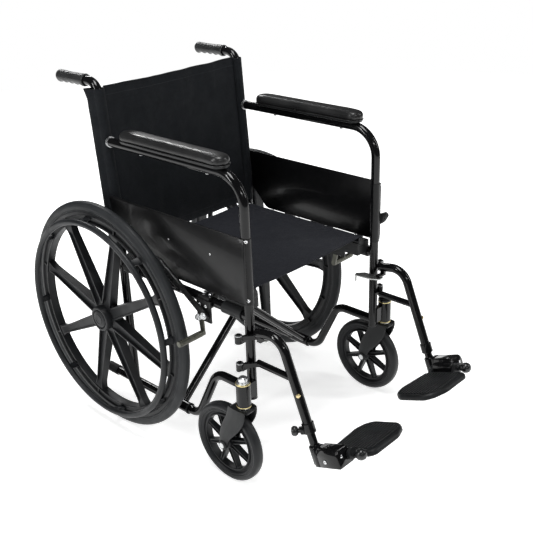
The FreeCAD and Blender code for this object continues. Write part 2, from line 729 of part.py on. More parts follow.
def hanger(word, side):
    """Swing-away hanger: bent tube, cross bar, two hinge eyes and the clamp collar."""
    x = side * size("side_x")
    radius = size("tube_r")
    wall = size("tube_wall")
    corners = [point(x, "hanger_start_y", "hanger_start_z"),
               point(x, "hanger_knee_y", "hanger_knee_z"),
               point(x, "hanger_end_y", "hanger_end_z")]
    bend = [size("hanger_bend")]
    tube = bent_tube(corners, bend, radius, wall)
    bore = swept(corners, bend, radius - wall)
    down = slide_direction()
    long = size("collar_length")
    collar = Part.makeCylinder(radius + size("collar_wall"), long, corners[2] - down * long, down)
    collar = collar.cut(bore)
    bar_z = size("lug_low_z + hanger_bar_r")
    bar = Part.makeCylinder(size("hanger_bar_r"), 110, Vector(x, size("hanger_start_y"), bar_z),
                            Vector(0, -1, 0))
    pieces = [collar, bar.cut(bore)]
    for level, start in (("lug_high_z", corners[0]), ("lug_low_z", Vector(x, corners[0].y, bar_z))):
        eye = point(side * size("lug_x"), "lug_y", level + " + gap")
        pieces.append(Part.makeCylinder(size("lug_eye_r"), size("lug_eye_height"), eye))
        flat = Vector(start.x - eye.x, start.y - 6 - eye.y, 0)
        strap = Part.makeBox(flat.Length, 7, size("lug_eye_height - 2"), Vector(0, -3.5, 0))
        strap.Placement = Placement(Vector(eye.x, eye.y, eye.z + 1),
                                    Rotation(Vector(1, 0, 0), flat))
        pieces.append(strap)
    body = tube
    for piece in pieces:
        body = body.fuse(piece)
    for level in ("lug_high_z", "lug_low_z"):
        eye = point(side * size("lug_x"), "lug_y", level + " - 10")
        body = body.cut(Part.makeCylinder(size("lug_pin_r + pin_play"), 60, eye))
    # a stub on the inner side carries the release latch
    stub = Part.makeBox(22, 12, 5, point(x - (22 if side > 0 else 0), "hanger_start_y - 14",
                                         "hanger_start_z - 20"))
    stub_pin = Part.makeCylinder(size("latch_pin_r"), 14,
                                 Vector(x - side * 17, size("hanger_start_y - 8"),
                                        size("hanger_start_z - 26")))
    post_side = Part.makeBox(8, 12, 16, Vector(x - 4, size("hanger_start_y - 14"),
                                               size("hanger_start_z - 20")))
    body = body.fuse(stub).fuse(stub_pin).fuse(post_side).cut(bore).removeSplitter()
    shape_node(word + "_footrest_hanger", body)


def hanger_latch(word, side):
    """Release lever under the stub: a plate with a finger tab that swings inboard."""
    body = new_body(word + "_latch_body")
    sketch = sketch_on(body, "XY_Plane")
    add_polygon(sketch, [("%d" % (side * 7), "-9"), ("%d" % (side * 7), "10"),
                         ("%d" % (side * 2), "46"), ("%d" % (side * -14), "62"),
                         ("%d" % (side * -26), "58"), ("%d" % (side * -20), "12"),
                         ("%d" % (side * -9), "-9")])
    add_circle(sketch, "0", "0", "latch_pin_r + pin_play")
    pad(body, sketch, "3")
    tab = sketch_on(body, "XY_Plane")
    add_polygon(tab, [("%d" % (side * -14), "62"), ("%d" % (side * -26), "58"),
                      ("%d" % (side * -26), "55"), ("%d" % (side * -14), "59")])
    pad(body, tab, "16", backwards=True)
    move_to(body, "%d * (side_x - 17)" % side, "hanger_start_y - 8", "hanger_start_z - 24")
    node(body, word + "_hanger_latch")


def foot_frame(word):
    """Placement at the foot of the slide: local Y along the hinge pin, Z up the hanger."""
    down = slide_direction()
    end = point(0, "hanger_end_y", "hanger_end_z")
    foot = end + down * size(word + "_foot_drop")
    pitch = math.degrees(math.atan2(-down.y, -down.z))
    return Placement(foot, Rotation(Vector(1, 0, 0), -pitch))


def footrest(word, side):
    """Telescoping slide with its hinge block, the hinge pin, and the ribbed plate."""
    frame = foot_frame(word)
    half = "block_height / 2"

    name = word + "_slide"
    tube = cylinder(name + "_tube", (side * size("side_x"), "0", "-" + half), "z", "slide_r", "150")
    bore = cylinder(name + "_bore", (side * size("side_x"), "0", "-" + half), "z",
                    "slide_r - slide_wall", "160")
    hollow = cut(name + "_hollow", tube, [bore])
    low_x = "block_inner_x" if side > 0 else "-block_outer_x"
    housing = block(name + "_housing", (low_x, "-slide_r - block_length + 1", "-" + half),
                    ("block_outer_x - block_inner_x", "block_length", "block_height"))
    notch_x = "block_inner_x - 5" if side > 0 else "-foot_axis_x - 7.4"
    notch = block(name + "_notch", (notch_x, "-slide_r - 13", "-block_height"),
                  ("foot_axis_x - block_inner_x + 12.4", "30", "2 * block_height"))
    axis_start = ("%d * foot_axis_x" % side, "-200", "foot_axis_rise")
    pin_hole = cylinder(name + "_pin_hole", axis_start, "y", "foot_pin_r + pin_play", "260")
    corner_x = "block_inner_x - 10" if side > 0 else "-foot_axis_x"
    corner = block(name + "_corner", (corner_x, "-200", "foot_axis_rise"),
                   ("foot_axis_x - block_inner_x + 10", "400", "block_height"))
    round_corner = cylinder(name + "_round", axis_start, "y", "foot_knob_r + 0.6", "400")
    relief = cut(name + "_relief", corner, [round_corner])
    carved = cut(name + "_carved", housing, [notch, relief, bore])
    joined = fused(name + "_sum", [hollow, carved])
    finished = cut(name + "_cut", joined, [pin_hole])
    finished.Placement = frame
    node(finished, word + "_footrest_slide")

    front = "-slide_r - block_length + 1"
    name = word + "_foot_pin"
    rod = cylinder(name + "_rod", ("%d * foot_axis_x" % side, front + " - 24", "foot_axis_rise"),
                   "y", "foot_pin_r", "block_length + 24")
    knob = doc.addObject("Part::Sphere", name + "_knob")
    knob.setExpression("Radius", bound("foot_knob_r"))
    move_to(knob, "%d * foot_axis_x" % side, front + " - 32", "foot_axis_rise")
    pin = fused(name + "_sum", [rod, knob])
    pin.Placement = frame
    node(pin, word + "_footplate_hinge_pin")

    footplate(word, side, frame, front)


def footplate(word, side, frame, front):
    """Ribbed plate with a hinge lug at each end of the block."""
    body = new_body(word + "_plate_body")
    middle = "(-slide_r - block_length / 2 + 1)"
    outline = [("plate_root_x", "34"), ("90", "49"), ("plate_end_x + 18", "40"),
               ("plate_end_x", "22"), ("plate_end_x", "-52"), ("plate_end_x + 16", "-70"),
               ("96", "-85"), ("plate_root_x - 8", "-85"), ("plate_root_x", "-72")]
    top = "foot_axis_rise - 2"
    slab = sketch_on(body, "XY_Plane", top)
    add_polygon(slab, [("%d * (%s)" % (side, u), "%s + %s" % (middle, v)) for u, v in outline])
    pad(body, slab, "plate_thick", backwards=True)
    hollow = [("plate_root_x - 5", "28"), ("90", "43"), ("plate_end_x + 22", "34"),
              ("plate_end_x + 5", "20"), ("plate_end_x + 5", "-50"), ("plate_end_x + 20", "-64"),
              ("96", "-79"), ("plate_root_x - 12", "-79"), ("plate_root_x - 5", "-68")]
    below = sketch_on(body, "XY_Plane", top + " - plate_thick")
    add_polygon(below, [("%d * (%s)" % (side, u), "%s + %s" % (middle, v)) for u, v in hollow])
    pad(body, below, "plate_thick - 6", kind="Pocket", backwards=True)
    rib = sketch_on(body, "XY_Plane", top)
    add_polygon(rib, [("%d * (plate_end_x + 14)" % side, middle + " - 63"),
                      ("%d * (plate_root_x - 22)" % side, middle + " - 63"),
                      ("%d * (plate_root_x - 22)" % side, middle + " - 58"),
                      ("%d * (plate_end_x + 14)" % side, middle + " - 58")])
    ridge = pad(body, rib, "1.6")
    ridges = body.newObject("PartDesign::LinearPattern", word + "_ridges")
    ridges.Originals = [ridge]
    ridges.Direction = (rib, ["V_Axis"])
    ridges.Length = 80.0
    ridges.Occurrences = 9
    body.Tip = ridges
    add_lug(body, side, front + " - 10", "9.4", "13")
    add_lug(body, side, "-slide_r - 12.5", "10", "7")
    body.Placement = frame
    node(body, word + "_footplate")


def add_lug(body, side, start, length, radius):
    """A hinge lug round the pin axis, joined to the root of the plate."""
    lug = sketch_on(body, "XZ_Plane", "-(%s)" % start)
    web_x = "plate_root_x - 3"
    add_polygon(lug, [("%d * (%s)" % (side, web_x), "foot_axis_rise - 13"),
                      ("%d * foot_axis_x" % side, "foot_axis_rise - %s" % radius),
                      ("%d * foot_axis_x" % side, "foot_axis_rise + %s" % radius),
                      ("%d * (%s)" % (side, web_x), "foot_axis_rise - 2")])
    pad(body, lug, length, backwards=True)
    eye = sketch_on(body, "XZ_Plane", "-(%s)" % start)
    add_circle(eye, "%d * foot_axis_x" % side, "foot_axis_rise", radius)
    pad(body, eye, length, backwards=True)
    hole = sketch_on(body, "XZ_Plane", "-(%s)" % start)
    add_circle(hole, "%d * foot_axis_x" % side, "foot_axis_rise", "foot_pin_r + pin_play")
    pad(body, hole, "%s + 1" % length, kind="Pocket")


# ---------------------------------------------------------------------------
# Cross-brace, seat and back
# ---------------------------------------------------------------------------
def slanted(name, side, y, radius):
    """A cross-brace tube from the lower rail on one side to the seat rail on the other."""
    low = point(-side * size("side_x"), y, "lower_rail_z")
    high = point(side * size("seat_rail_x"), y, "seat_rail_z")
    bar = doc.addObject("Part::Cylinder", name)
    bar.setExpression("Radius", bound(radius))
    bar.Height = (high - low).Length
    bar.Placement = Placement(low, Rotation(Vector(0, 0, 1), high - low))
    return bar


def cross_pivot_z():
    """Height where the two arms cross, on the chair's centre plane."""
    rise = size("seat_rail_z - lower_rail_z")
    run = size("side_x + seat_rail_x")
    return size("lower_rail_z") + size("side_x") * rise / run


def cross_arm(label, side, offsets, radius, sleeve_half):
    """Arm with a sleeve round one lower rail, reaching up to the opposite seat rail."""
    pieces = [slanted(label + "_bar", side, "cross_y + %s" % offset, radius) for offset in offsets]
    lower = ("%d * side_x" % -side, "cross_y - %s" % sleeve_half, "lower_rail_z")
    pieces.append(cylinder(label + "_sleeve", lower, "y", "hinge_sleeve_r", "2 * " + sleeve_half))
    tools = [
        cylinder(label + "_rail_bore", ("%d * side_x" % -side, "cross_y - 60", "lower_rail_z"), "y",
                 "tube_r + pin_play", "120"),
        cylinder(label + "_seat_cope", ("%d * seat_rail_x" % side, "cross_y - 60", "seat_rail_z"),
                 "y", "tube_r", "120"),
        cylinder(label + "_bolt_hole", ("0", "cross_y - 60", cross_pivot_z()), "y",
                 "cross_bolt_r" + (" + pin_play" if len(offsets) > 1 else ""), "120"),
    ]
    node(cut(label + "_cut", fused(label + "_sum", pieces), tools), label)


def seat_rail(label, side):
    ends = ("%d * seat_rail_x" % side, "seat_front_y", "seat_rail_z")
    outer = cylinder(label + "_outer", ends, "y", "tube_r", "seat_back_y - seat_front_y")
    inner = cylinder(label + "_inner", ends, "y", "tube_r - tube_wall", "seat_back_y - seat_front_y")
    node(cut(label + "_cut", outer, [inner]), label)


def cross_brace():
    cross_arm("cross_arm_single", 1, ["0"], "arm_tube_r", "28")
    cross_arm("cross_arm_twin", -1, ["twin_offset", "(-twin_offset)"], "twin_tube_r", "32")
    bolt = turned("cross_bolt_body", [[
        ("0", "-38"), ("9", "-38"), ("9", "-30"), ("cross_bolt_r", "-30"), ("cross_bolt_r", "30"),
        ("9", "30"), ("9", "36"), ("0", "36")]], axis="V_Axis")
    move_to(bolt, "0", "cross_y", cross_pivot_z())
    node(bolt, "cross_bolt")
    seat_rail("left_seat_rail", 1)
    seat_rail("right_seat_rail", -1)


def upholstery():
    """Seat sling on the two seat rails and back sling between the two canes."""
    seat = block("seat_slab", ("-seat_rail_x - 12", "seat_front_y + 2", "seat_rail_z + tube_r + gap"),
                 ("2 * seat_rail_x + 24", "seat_back_y - seat_front_y - 6", "cloth"))
    node(seat, "seat_upholstery")

    body = new_body("back_sling_body")
    sketch = sketch_on(body, "YZ_Plane")
    lean = "(cane_top_y - cane_y) / (handle_z - cane_lean_z)"
    high_y = "cane_y + %s * (back_high_z - cane_lean_z)" % lean
    add_polygon(sketch, [("cane_y - cloth / 2", "back_low_z"), ("cane_y + cloth / 2", "back_low_z"),
                         ("cane_y + cloth / 2", "cane_lean_z"),
                         (high_y + " + cloth / 2", "back_high_z"),
                         (high_y + " - cloth / 2", "back_high_z"),
                         ("cane_y - cloth / 2", "cane_lean_z")])
    pad(body, sketch, "2 * (side_x - tube_r - gap)", middle=True)
    node(body, "back_upholstery")


for word, side in SIDES:
    frame_tubes(word, side)
    front_brackets(word, side)
    rail_saddles(word, side)
    skirt_guard(word, side)
    armrest_pad(word, side)
    push_grip(word, side)
    rear_wheel(word, side)
    caster(word, side)
    brake(word, side)
    hanger(word, side)
    hanger_latch(word, side)
    footrest(word, side)
cross_brace()
upholstery()

doc.recompute()
for obj in doc.Objects:
    if "Invalid" in obj.State or "Error" in obj.State:
        raise RuntimeError("%s (%s) failed: %s" % (obj.Name, obj.Label, obj.State))

os.makedirs("parts", exist_ok=True)
for obj in NODES:
    shape = obj.Shape
    if shape.isNull() or not shape.isValid() or not shape.Solids:
        raise RuntimeError("%s has no valid solid" % obj.Label)
for obj in NODES:
    obj.Shape.exportStep("parts/%s.step" % obj.Label)
print("%d nodes" % len(NODES))
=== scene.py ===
"""Looks of the folding manual wheelchair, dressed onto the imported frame.

Meshes are written in millimetres in the frame's axes (+Z up, facing -Y, occupant's right at -X)
and scaled to metres when each piece is made.
"""
import math
import bmesh
import bpy
from mathutils import Matrix, Vector, noise


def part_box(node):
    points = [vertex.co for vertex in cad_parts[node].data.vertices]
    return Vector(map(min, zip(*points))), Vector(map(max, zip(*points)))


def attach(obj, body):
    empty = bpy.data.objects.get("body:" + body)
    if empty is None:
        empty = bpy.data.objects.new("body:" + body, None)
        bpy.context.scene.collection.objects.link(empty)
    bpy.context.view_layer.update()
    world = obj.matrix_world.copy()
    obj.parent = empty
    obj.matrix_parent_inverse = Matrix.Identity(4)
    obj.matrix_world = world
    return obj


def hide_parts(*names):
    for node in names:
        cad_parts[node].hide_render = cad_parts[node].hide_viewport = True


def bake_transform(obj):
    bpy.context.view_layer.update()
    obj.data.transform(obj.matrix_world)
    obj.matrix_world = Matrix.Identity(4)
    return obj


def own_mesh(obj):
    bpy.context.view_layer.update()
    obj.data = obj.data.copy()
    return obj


MM = 0.001
SIDES = (("right", -1), ("left", 1))
TUBE_R = 11.1              # frame tube
TUBE_X = 229.0             # planes of the side frames, from the middle
CANE_Y = 224.0             # back cane below its bend
CANE_BEND_Z = 560.0        # where the cane starts to lean back
CANE_LEAN = 24.0 / 332.0   # how far it leans for each unit of height
CANE_EASE = 16             # half the height over which it bends

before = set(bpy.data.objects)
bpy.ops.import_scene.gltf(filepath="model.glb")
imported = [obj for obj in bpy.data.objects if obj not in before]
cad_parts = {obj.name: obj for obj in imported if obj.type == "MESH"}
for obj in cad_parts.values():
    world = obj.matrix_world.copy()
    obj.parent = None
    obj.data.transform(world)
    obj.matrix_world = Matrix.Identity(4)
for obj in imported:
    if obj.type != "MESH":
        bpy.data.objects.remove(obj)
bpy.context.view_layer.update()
scene = bpy.context.scene


def corners(node):
    """Lowest and highest corner of a frame node, in millimetres."""
    low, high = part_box(node)
    return low / MM, high / MM


def middle(node):
    low, high = corners(node)
    return (low + high) / 2


def placed(name, data):
    """A new object in the scene."""
    piece = bpy.data.objects.new(name, data)
    scene.collection.objects.link(piece)
    return piece


# ---- Finishes ----
class Finish:
    """A node material: mottled colour, mottled roughness and layers of relief."""

    def __init__(self, name, metallic=0.0, coat=0.0, sheen=0.0, specular=0.5):
        self.material = bpy.data.materials.new(name)
        self.material.use_nodes = True
        self.tree = self.material.node_tree
        self.shader = self.tree.nodes["Principled BSDF"]
        for socket, value in (("Metallic", metallic), ("Coat Weight", coat), ("Coat Roughness", 0.06),
                              ("Sheen Weight", sheen), ("Sheen Roughness", 0.45),
                              ("Specular IOR Level", specular)):
            self.shader.inputs[socket].default_value = value
        self.coordinates = self.add("ShaderNodeTexCoord").outputs["Object"]

    def add(self, kind, **settings):
        node = self.tree.nodes.new(kind)
        for key, value in settings.items():
            setattr(node, key, value)
        return node

    def link(self, output, socket):
        self.tree.links.new(output, socket)

    def stretched(self, scale):
        """The object's coordinates, scaled along each axis."""
        mapping = self.add("ShaderNodeMapping")
        mapping.inputs["Scale"].default_value = scale
        self.link(self.coordinates, mapping.inputs["Vector"])
        return mapping.outputs["Vector"]

    def noise(self, scale, detail=4.0, stretch=(1, 1, 1)):
        node = self.add("ShaderNodeTexNoise")
        node.inputs["Scale"].default_value = scale
        node.inputs["Detail"].default_value = detail
        self.link(self.stretched(stretch), node.inputs["Vector"])
        return node.outputs["Fac"]

    def ramp(self, value, low, high, start=0.3, end=0.7):
        node = self.add("ShaderNodeMapRange")
        for name, number in (("From Min", start), ("From Max", end), ("To Min", low), ("To Max", high)):
            node.inputs[name].default_value = number
        self.link(value, node.inputs["Value"])
        return node.outputs["Result"]

    def blend_colours(self, value, first, second):
        node = self.add("ShaderNodeMix", data_type="RGBA")
        node.inputs["A"].default_value = (*first, 1)
        node.inputs["B"].default_value = (*second, 1)
        self.link(value, node.inputs["Factor"])
        return node.outputs["Result"]

    def colour(self, first, second, scale, stretch=(1, 1, 1)):
        value = self.ramp(self.noise(scale, stretch=stretch), 0.0, 1.0)
        self.link(self.blend_colours(value, first, second), self.shader.inputs["Base Color"])
        return self

    def roughness(self, low, high, scale, stretch=(1, 1, 1)):
        value = self.ramp(self.noise(scale, stretch=stretch), low, high)
        self.link(value, self.shader.inputs["Roughness"])
        return self

    def relief(self, height, depth):
        """Adds one more layer of bump, depth in metres."""
        bump = self.add("ShaderNodeBump")
        bump.inputs["Distance"].default_value = depth
        bump.inputs["Strength"].default_value = 1.0
        self.link(height, bump.inputs["Height"])
        normal = self.shader.inputs["Normal"]
        if normal.is_linked:
            self.link(normal.links[0].from_socket, bump.inputs["Normal"])
        self.link(bump.outputs["Normal"], normal)
        return self

    def cells(self, scale, stretch=(1, 1, 1)):
        node = self.add("ShaderNodeTexVoronoi", feature="SMOOTH_F1")
        node.inputs["Scale"].default_value = scale
        self.link(self.stretched(stretch), node.inputs["Vector"])
        return node.outputs["Distance"]

    def bands(self, direction, pitch):
        """Parallel ridges across one axis, pitch in metres."""
        node = self.add("ShaderNodeTexWave", bands_direction=direction)
        node.inputs["Scale"].default_value = math.pi / (10 * pitch)
        node.inputs["Distortion"].default_value = 0.6
        node.inputs["Detail"].default_value = 1.0
        self.link(self.coordinates, node.inputs["Vector"])
        return node.outputs["Fac"]


def painted(name, base, rough, coat, peel):
    """Powder coat: deep colour under gloss, with a slight orange peel, depth in metres."""
    finish = Finish(name, coat=coat, specular=0.2)
    finish.colour(base, tuple(c * 1.7 + 0.001 for c in base), 14)
    finish.roughness(rough - 0.04, rough + 0.06, 60)
    finish.relief(finish.noise(420, 2), peel * 0.6)
    return finish.relief(finish.noise(60, 2), peel).material


def moulded(name, base, rough, grain, specular=0.24):
    """Injection-moulded plastic or rubber with a fine etched grain."""
    finish = Finish(name, specular=specular)
    finish.colour(base, tuple(c * 1.5 + 0.002 for c in base), 22)
    finish.roughness(rough - 0.06, rough + 0.08, 35)
    finish.relief(finish.noise(1400, 2), grain)
    return finish.relief(finish.cells(520), grain).material


def metal(name, base, rough, stretch=(1, 1, 1)):
    """Bright metal with drawn scratches and tarnish in patches."""
    finish = Finish(name, metallic=1.0)
    finish.colour(base, tuple(c * 0.72 for c in base), 90)
    finish.roughness(rough - 0.08, rough + 0.14, 200, stretch)
    return finish.relief(finish.noise(700, 3, stretch), 0.00002).material


def vinyl(name, base, rough):
    """Soft vinyl skin with leather pores and faint rubbed patches."""
    finish = Finish(name, coat=0.1, specular=0.32)
    finish.colour(base, tuple(c * 1.6 + 0.003 for c in base), 18)
    finish.roughness(rough - 0.07, rough + 0.1, 26)
    finish.relief(finish.cells(620), 0.00012)
    return finish.relief(finish.noise(90, 4), 0.00008).material


def nylon(name, base, across, along):
    """Coarse woven nylon: warp and weft ridges, uneven yarns and a soft bloom."""
    finish = Finish(name, sheen=0.03, specular=0.12)
    yarns = finish.noise(260, 3)
    finish.link(finish.blend_colours(finish.ramp(yarns, 0, 1), base, tuple(c * 1.7 for c in base)),
                finish.shader.inputs["Base Color"])
    finish.roughness(0.62, 0.82, 30)
    finish.relief(finish.bands(across, 0.0011), 0.00016)
    finish.relief(finish.bands(along, 0.0011), 0.00016)
    return finish.relief(finish.noise(45, 5), 0.0007).material


PAINT = painted("gloss_black_paint", (0.0022, 0.0022, 0.0025), 0.13, 0.18, 0.00002)
SHEET_PAINT = painted("black_sheet_paint", (0.002, 0.002, 0.0023), 0.34, 0.08, 0.000005)
WHEEL = moulded("wheel_nylon", (0.007, 0.0075, 0.0085), 0.42, 0.00002)
HANDRIM = moulded("handrim_polymer", (0.009, 0.0098, 0.011), 0.4, 0.00002)
FORK = moulded("fork_nylon", (0.006, 0.0066, 0.0072), 0.36, 0.00002)
TYRE = moulded("solid_tyre_rubber", (0.011, 0.0122, 0.0135), 0.5, 0.00003)
CASTER_RUBBER = moulded("caster_rubber", (0.008, 0.0086, 0.0096), 0.4, 0.00003)
SADDLE = moulded("saddle_polymer", (0.009, 0.0095, 0.01), 0.4, 0.00002)
PLATE = moulded("footplate_polymer", (0.0065, 0.007, 0.0076), 0.42, 0.00003)
KNOB = moulded("knob_polymer", (0.007, 0.0075, 0.008), 0.24, 0.00001, 0.5)
RUBBER_TIP = moulded("tip_rubber", (0.006, 0.006, 0.0065), 0.55, 0.00003)
PAD_VINYL = vinyl("pad_vinyl", (0.008, 0.008, 0.0083), 0.34)
GRIP_VINYL = vinyl("grip_vinyl", (0.012, 0.0125, 0.013), 0.42)
ZINC = metal("bright_zinc", (0.78, 0.79, 0.8), 0.28)
YELLOW_ZINC = metal("yellow_zinc", (0.78, 0.66, 0.33), 0.3)
BRASS = metal("brass", (0.75, 0.62, 0.34), 0.3)
OLIVE_ZINC = metal("olive_zinc", (0.13, 0.13, 0.11), 0.36)
PLATE_STEEL = metal("latch_steel", (0.6, 0.61, 0.6), 0.3, (1, 1, 8))
# Black oxide for the brackets, levers, brake plate and saddle clip band; also the painted shade in the screw
# heads' cross recesses.
BLACK_STEEL_AND_RECESS_SHADE = painted("black_oxide_steel_and_recess_shade", (0.009, 0.009, 0.009), 0.3, 0.2, 0.00001)
SEAT_NYLON = nylon("seat_nylon", (0.010, 0.0108, 0.014), "X", "Y")
# Back nylon: the seat's fabric with about half its base colour, painted shade of the upright back.
BACK_NYLON_PAINTED_SHADE = nylon("back_nylon", (0.0052, 0.0062, 0.0076), "X", "Z")
THREAD = moulded("sewing_thread", (0.02, 0.021, 0.024), 0.6, 0.00001)

SLOT_FINISH = {
    "frame_paint": PAINT, "guard_paint": SHEET_PAINT, "slide_paint": PAINT,
    "bracket_steel": BLACK_STEEL_AND_RECESS_SHADE, "lever_steel": BLACK_STEEL_AND_RECESS_SHADE, "shoe_steel": OLIVE_ZINC,
    "latch_steel": PLATE_STEEL, "bolt_steel": ZINC, "stem_steel": ZINC, "wheel_plastic": WHEEL,
    "handrim_plastic": HANDRIM, "fork_plastic": FORK, "tyre_rubber": TYRE,
    "caster_rubber": CASTER_RUBBER, "saddle_plastic": SADDLE, "pad_vinyl": PAD_VINYL,
    "grip_vinyl": GRIP_VINYL, "plate_plastic": PLATE, "knob_plastic": KNOB,
    "seat_nylon": SEAT_NYLON, "back_nylon": BACK_NYLON_PAINTED_SHADE,
}
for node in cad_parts.values():
    for i, old in enumerate(node.data.materials):
        node.data.materials[i] = SLOT_FINISH[old.name.split(".")[0]]

PRESSED_PARTS = ("brake_bracket", "brake_lever", "brake_shoe", "hanger_latch", "caster_barrel_and_lugs",
                 "footrest_hanger", "seat_rail_saddles", "rear_axle", "caster_axle")


# ---- Mesh building ----
def rounded(outline, radius, steps=4):
    """A closed outline with each corner turned into a short curve."""
    points = [Vector(p) for p in outline]
    result = []
    for i, point in enumerate(points):
        before = points[i - 1] - point
        after = points[(i + 1) % len(points)] - point
        reach = min(radius, before.length * 0.49, after.length * 0.49)
        start = point + before.normalized() * reach
        end = point + after.normalized() * reach
        for k in range(steps + 1):
            t = k / steps
            result.append(start * (1 - t) ** 2 + point * 2 * t * (1 - t) + end * t ** 2)
    return result


def band(start, end, inner, outer, radius, steps=2):
    """Profile of a plain ring, from start to end along its axis."""
    return rounded([(start, inner), (start, outer), (end, outer), (end, inner)], radius, steps)


def mirrored(half, peak=()):
    """A profile whose second half mirrors the first across its middle."""
    return [*half, *peak] + [(-u, v) for u, v in reversed(half)]


def circle(radius, steps=24):
    return [(radius * math.cos(2 * math.pi * k / steps), radius * math.sin(2 * math.pi * k / steps))
            for k in range(steps)]


class Shape:
    """Gathers lofts into one mesh, each with its own finish."""

    def __init__(self, finish):
        self.finishes = [finish]
        self.verts = []
        self.faces = []
        self.marks = []

    def loft(self, rings, closed=False, caps=True, finish=None):
        """Skin over rings that all have as many points."""
        if finish and finish not in self.finishes:
            self.finishes.append(finish)
        mark = self.finishes.index(finish) if finish else 0
        first = len(self.verts)
        count = len(rings[0])
        for ring in rings:
            self.verts.extend(Vector(p) for p in ring)
        faces = []
        for i in range(len(rings) if closed else len(rings) - 1):
            a = first + i * count
            b = first + (i + 1) % len(rings) * count
            for k in range(count):
                n = (k + 1) % count
                faces.append((a + k, a + n, b + n, b + k))
        if caps and not closed:
            faces.append(tuple(range(first + count - 1, first - 1, -1)))
            end = first + (len(rings) - 1) * count
            faces.append(tuple(range(end, end + count)))
        self.faces.extend(faces)
        self.marks.extend([mark] * len(faces))
        return self

    def lathe(self, profile, centre, axis, steps=48, finish=None):
        """Turn a closed profile of (along, radius) points about an axis."""
        axis = Vector(axis).normalized()
        side = axis.orthogonal().normalized()
        if abs(axis.x) > 0.99:
            side = Vector((0, 0, 1))
        other = axis.cross(side)
        rings = []
        for k in range(steps):
            angle = 2 * math.pi * k / steps
            arm = side * math.cos(angle) + other * math.sin(angle)
            rings.append([Vector(centre) + axis * a + arm * max(r, 0.01) for a, r in profile])
        return self.loft(rings, closed=True, finish=finish)

    def sweep(self, path, section, finish=None, up=(1, 0, 0), caps=True):
        """Carry a closed section along a path; up fixes its first axis."""
        rings = []
        for i, point in enumerate(path):
            before = path[max(i - 1, 0)]
            after = path[min(i + 1, len(path) - 1)]
            along = (Vector(after) - Vector(before)).normalized()
            first = (Vector(up) - along * along.dot(Vector(up))).normalized()
            second = along.cross(first)
            rings.append([Vector(point) + first * u + second * v for u, v in section])
        return self.loft(rings, caps=caps, finish=finish)

    def slab(self, outline, place, low, high, edge=1.0, finish=None):
        """A plate with eased edges; place turns (u, v, w) into a point."""
        inner = inset(outline, edge)
        rings = [(inner, low), (outline, low + edge * math.copysign(1, high - low)),
                 (outline, high - edge * math.copysign(1, high - low)), (inner, high)]
        return self.loft([[place(p[0], p[1], w) for p in ring] for ring, w in rings], finish=finish)

    def make(self, name, body=None, sharp=38, replaces=(), slot=None):
        mesh = bpy.data.meshes.new(name)
        mesh.from_pydata([v * MM for v in self.verts], [], self.faces)
        for finish in self.finishes:
            mesh.materials.append(finish)
        mesh.polygons.foreach_set("material_index", self.marks)
        mesh.polygons.foreach_set("use_smooth", [True] * len(mesh.polygons))
        mesh.validate()
        piece = placed(name, mesh)
        clean(piece)
        mesh.set_sharp_from_angle(angle=math.radians(sharp))
        if body:
            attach(piece, body)
        if replaces:
            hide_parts(*replaces)
        return piece


def clean(piece):
    """Weld doubled points and turn every face outwards."""
    mesh = bmesh.new()
    mesh.from_mesh(piece.data)
    bmesh.ops.remove_doubles(mesh, verts=mesh.verts, dist=0.00001)
    bmesh.ops.recalc_face_normals(mesh, faces=mesh.faces)
    mesh.to_mesh(piece.data)
    mesh.free()


def oblong(half_u, half_v):
    """The corners of a small rectangle about the origin."""
    return [(-half_u, -half_v), (half_u, -half_v), (half_u, half_v), (-half_u, half_v)]


def inset(outline, distance):
    """An outline moved inwards, or outwards when the distance is negative."""
    points = [Vector((p[0], p[1])) for p in outline]
    area = sum(a.x * b.y - b.x * a.y for a, b in zip(points, points[1:] + points[:1]))
    turn = 1 if area > 0 else -1
    result = []
    for i, point in enumerate(points):
        before = (point - points[i - 1]).normalized()
        after = (points[(i + 1) % len(points)] - point).normalized()
        normal = Vector((-(before + after).y, (before + after).x)).normalized() * turn
        slope = max(0.4, normal.dot(Vector((-before.y, before.x)) * turn))
        result.append(point + normal * distance / slope)
    return result


def bevel(piece, width, segments=2, angle=35):
    """Ease the sharp edges of a piece."""
    modifier = piece.modifiers.new("eased_edges", "BEVEL")
    modifier.width = width * MM
    modifier.segments = segments
    modifier.limit_method = "ANGLE"
    modifier.angle_limit = math.radians(angle)
    modifier.harden_normals = True
    return piece


def apply_modifiers(piece):
    """Replace the piece's mesh by its evaluated one."""
    graph = bpy.context.evaluated_depsgraph_get()
    mesh = bpy.data.meshes.new_from_object(piece.evaluated_get(graph))
    piece.modifiers.clear()
    piece.data = mesh
    return piece


# ---- Wheels ----
SPOKES = 8
PITCH = 360 / SPOKES       # degrees from spoke to spoke
REAR_PHASE = {"right": 28.0, "left": 3.0}
CASTER_PHASE = 22.5


def wheel_point(centre, side, along, radius, degrees):
    """A point of a wheel: along is outboard, degrees turn from the top to the rear."""
    angle = math.radians(degrees)
    return centre + Vector((side * along, radius * math.sin(angle), radius * math.cos(angle)))


def tangent(side, degrees):
    """The direction a wheel's rim runs in at this angle."""
    return wheel_point(Vector(), side, 0, 1, degrees + 90)


def spoke_ring(centre, side, radius, degrees, half_width, half_depth, recess, flange):
    """One section of an I-shaped spoke."""
    w, d, e, f = half_width, half_depth, recess, flange
    outline = [(-w, d), (f - w, d), (f - w + 0.6, d - e), (w - f - 0.6, d - e), (w - f, d), (w, d),
               (w, -d), (w - f, -d), (w - f - 0.6, e - d), (f - w + 0.6, e - d), (f - w, -d), (-w, -d)]
    base = wheel_point(centre, side, 0, radius, degrees)
    across = tangent(side, degrees)
    return [base + across * t + Vector((side * a, 0, 0)) for t, a in outline]


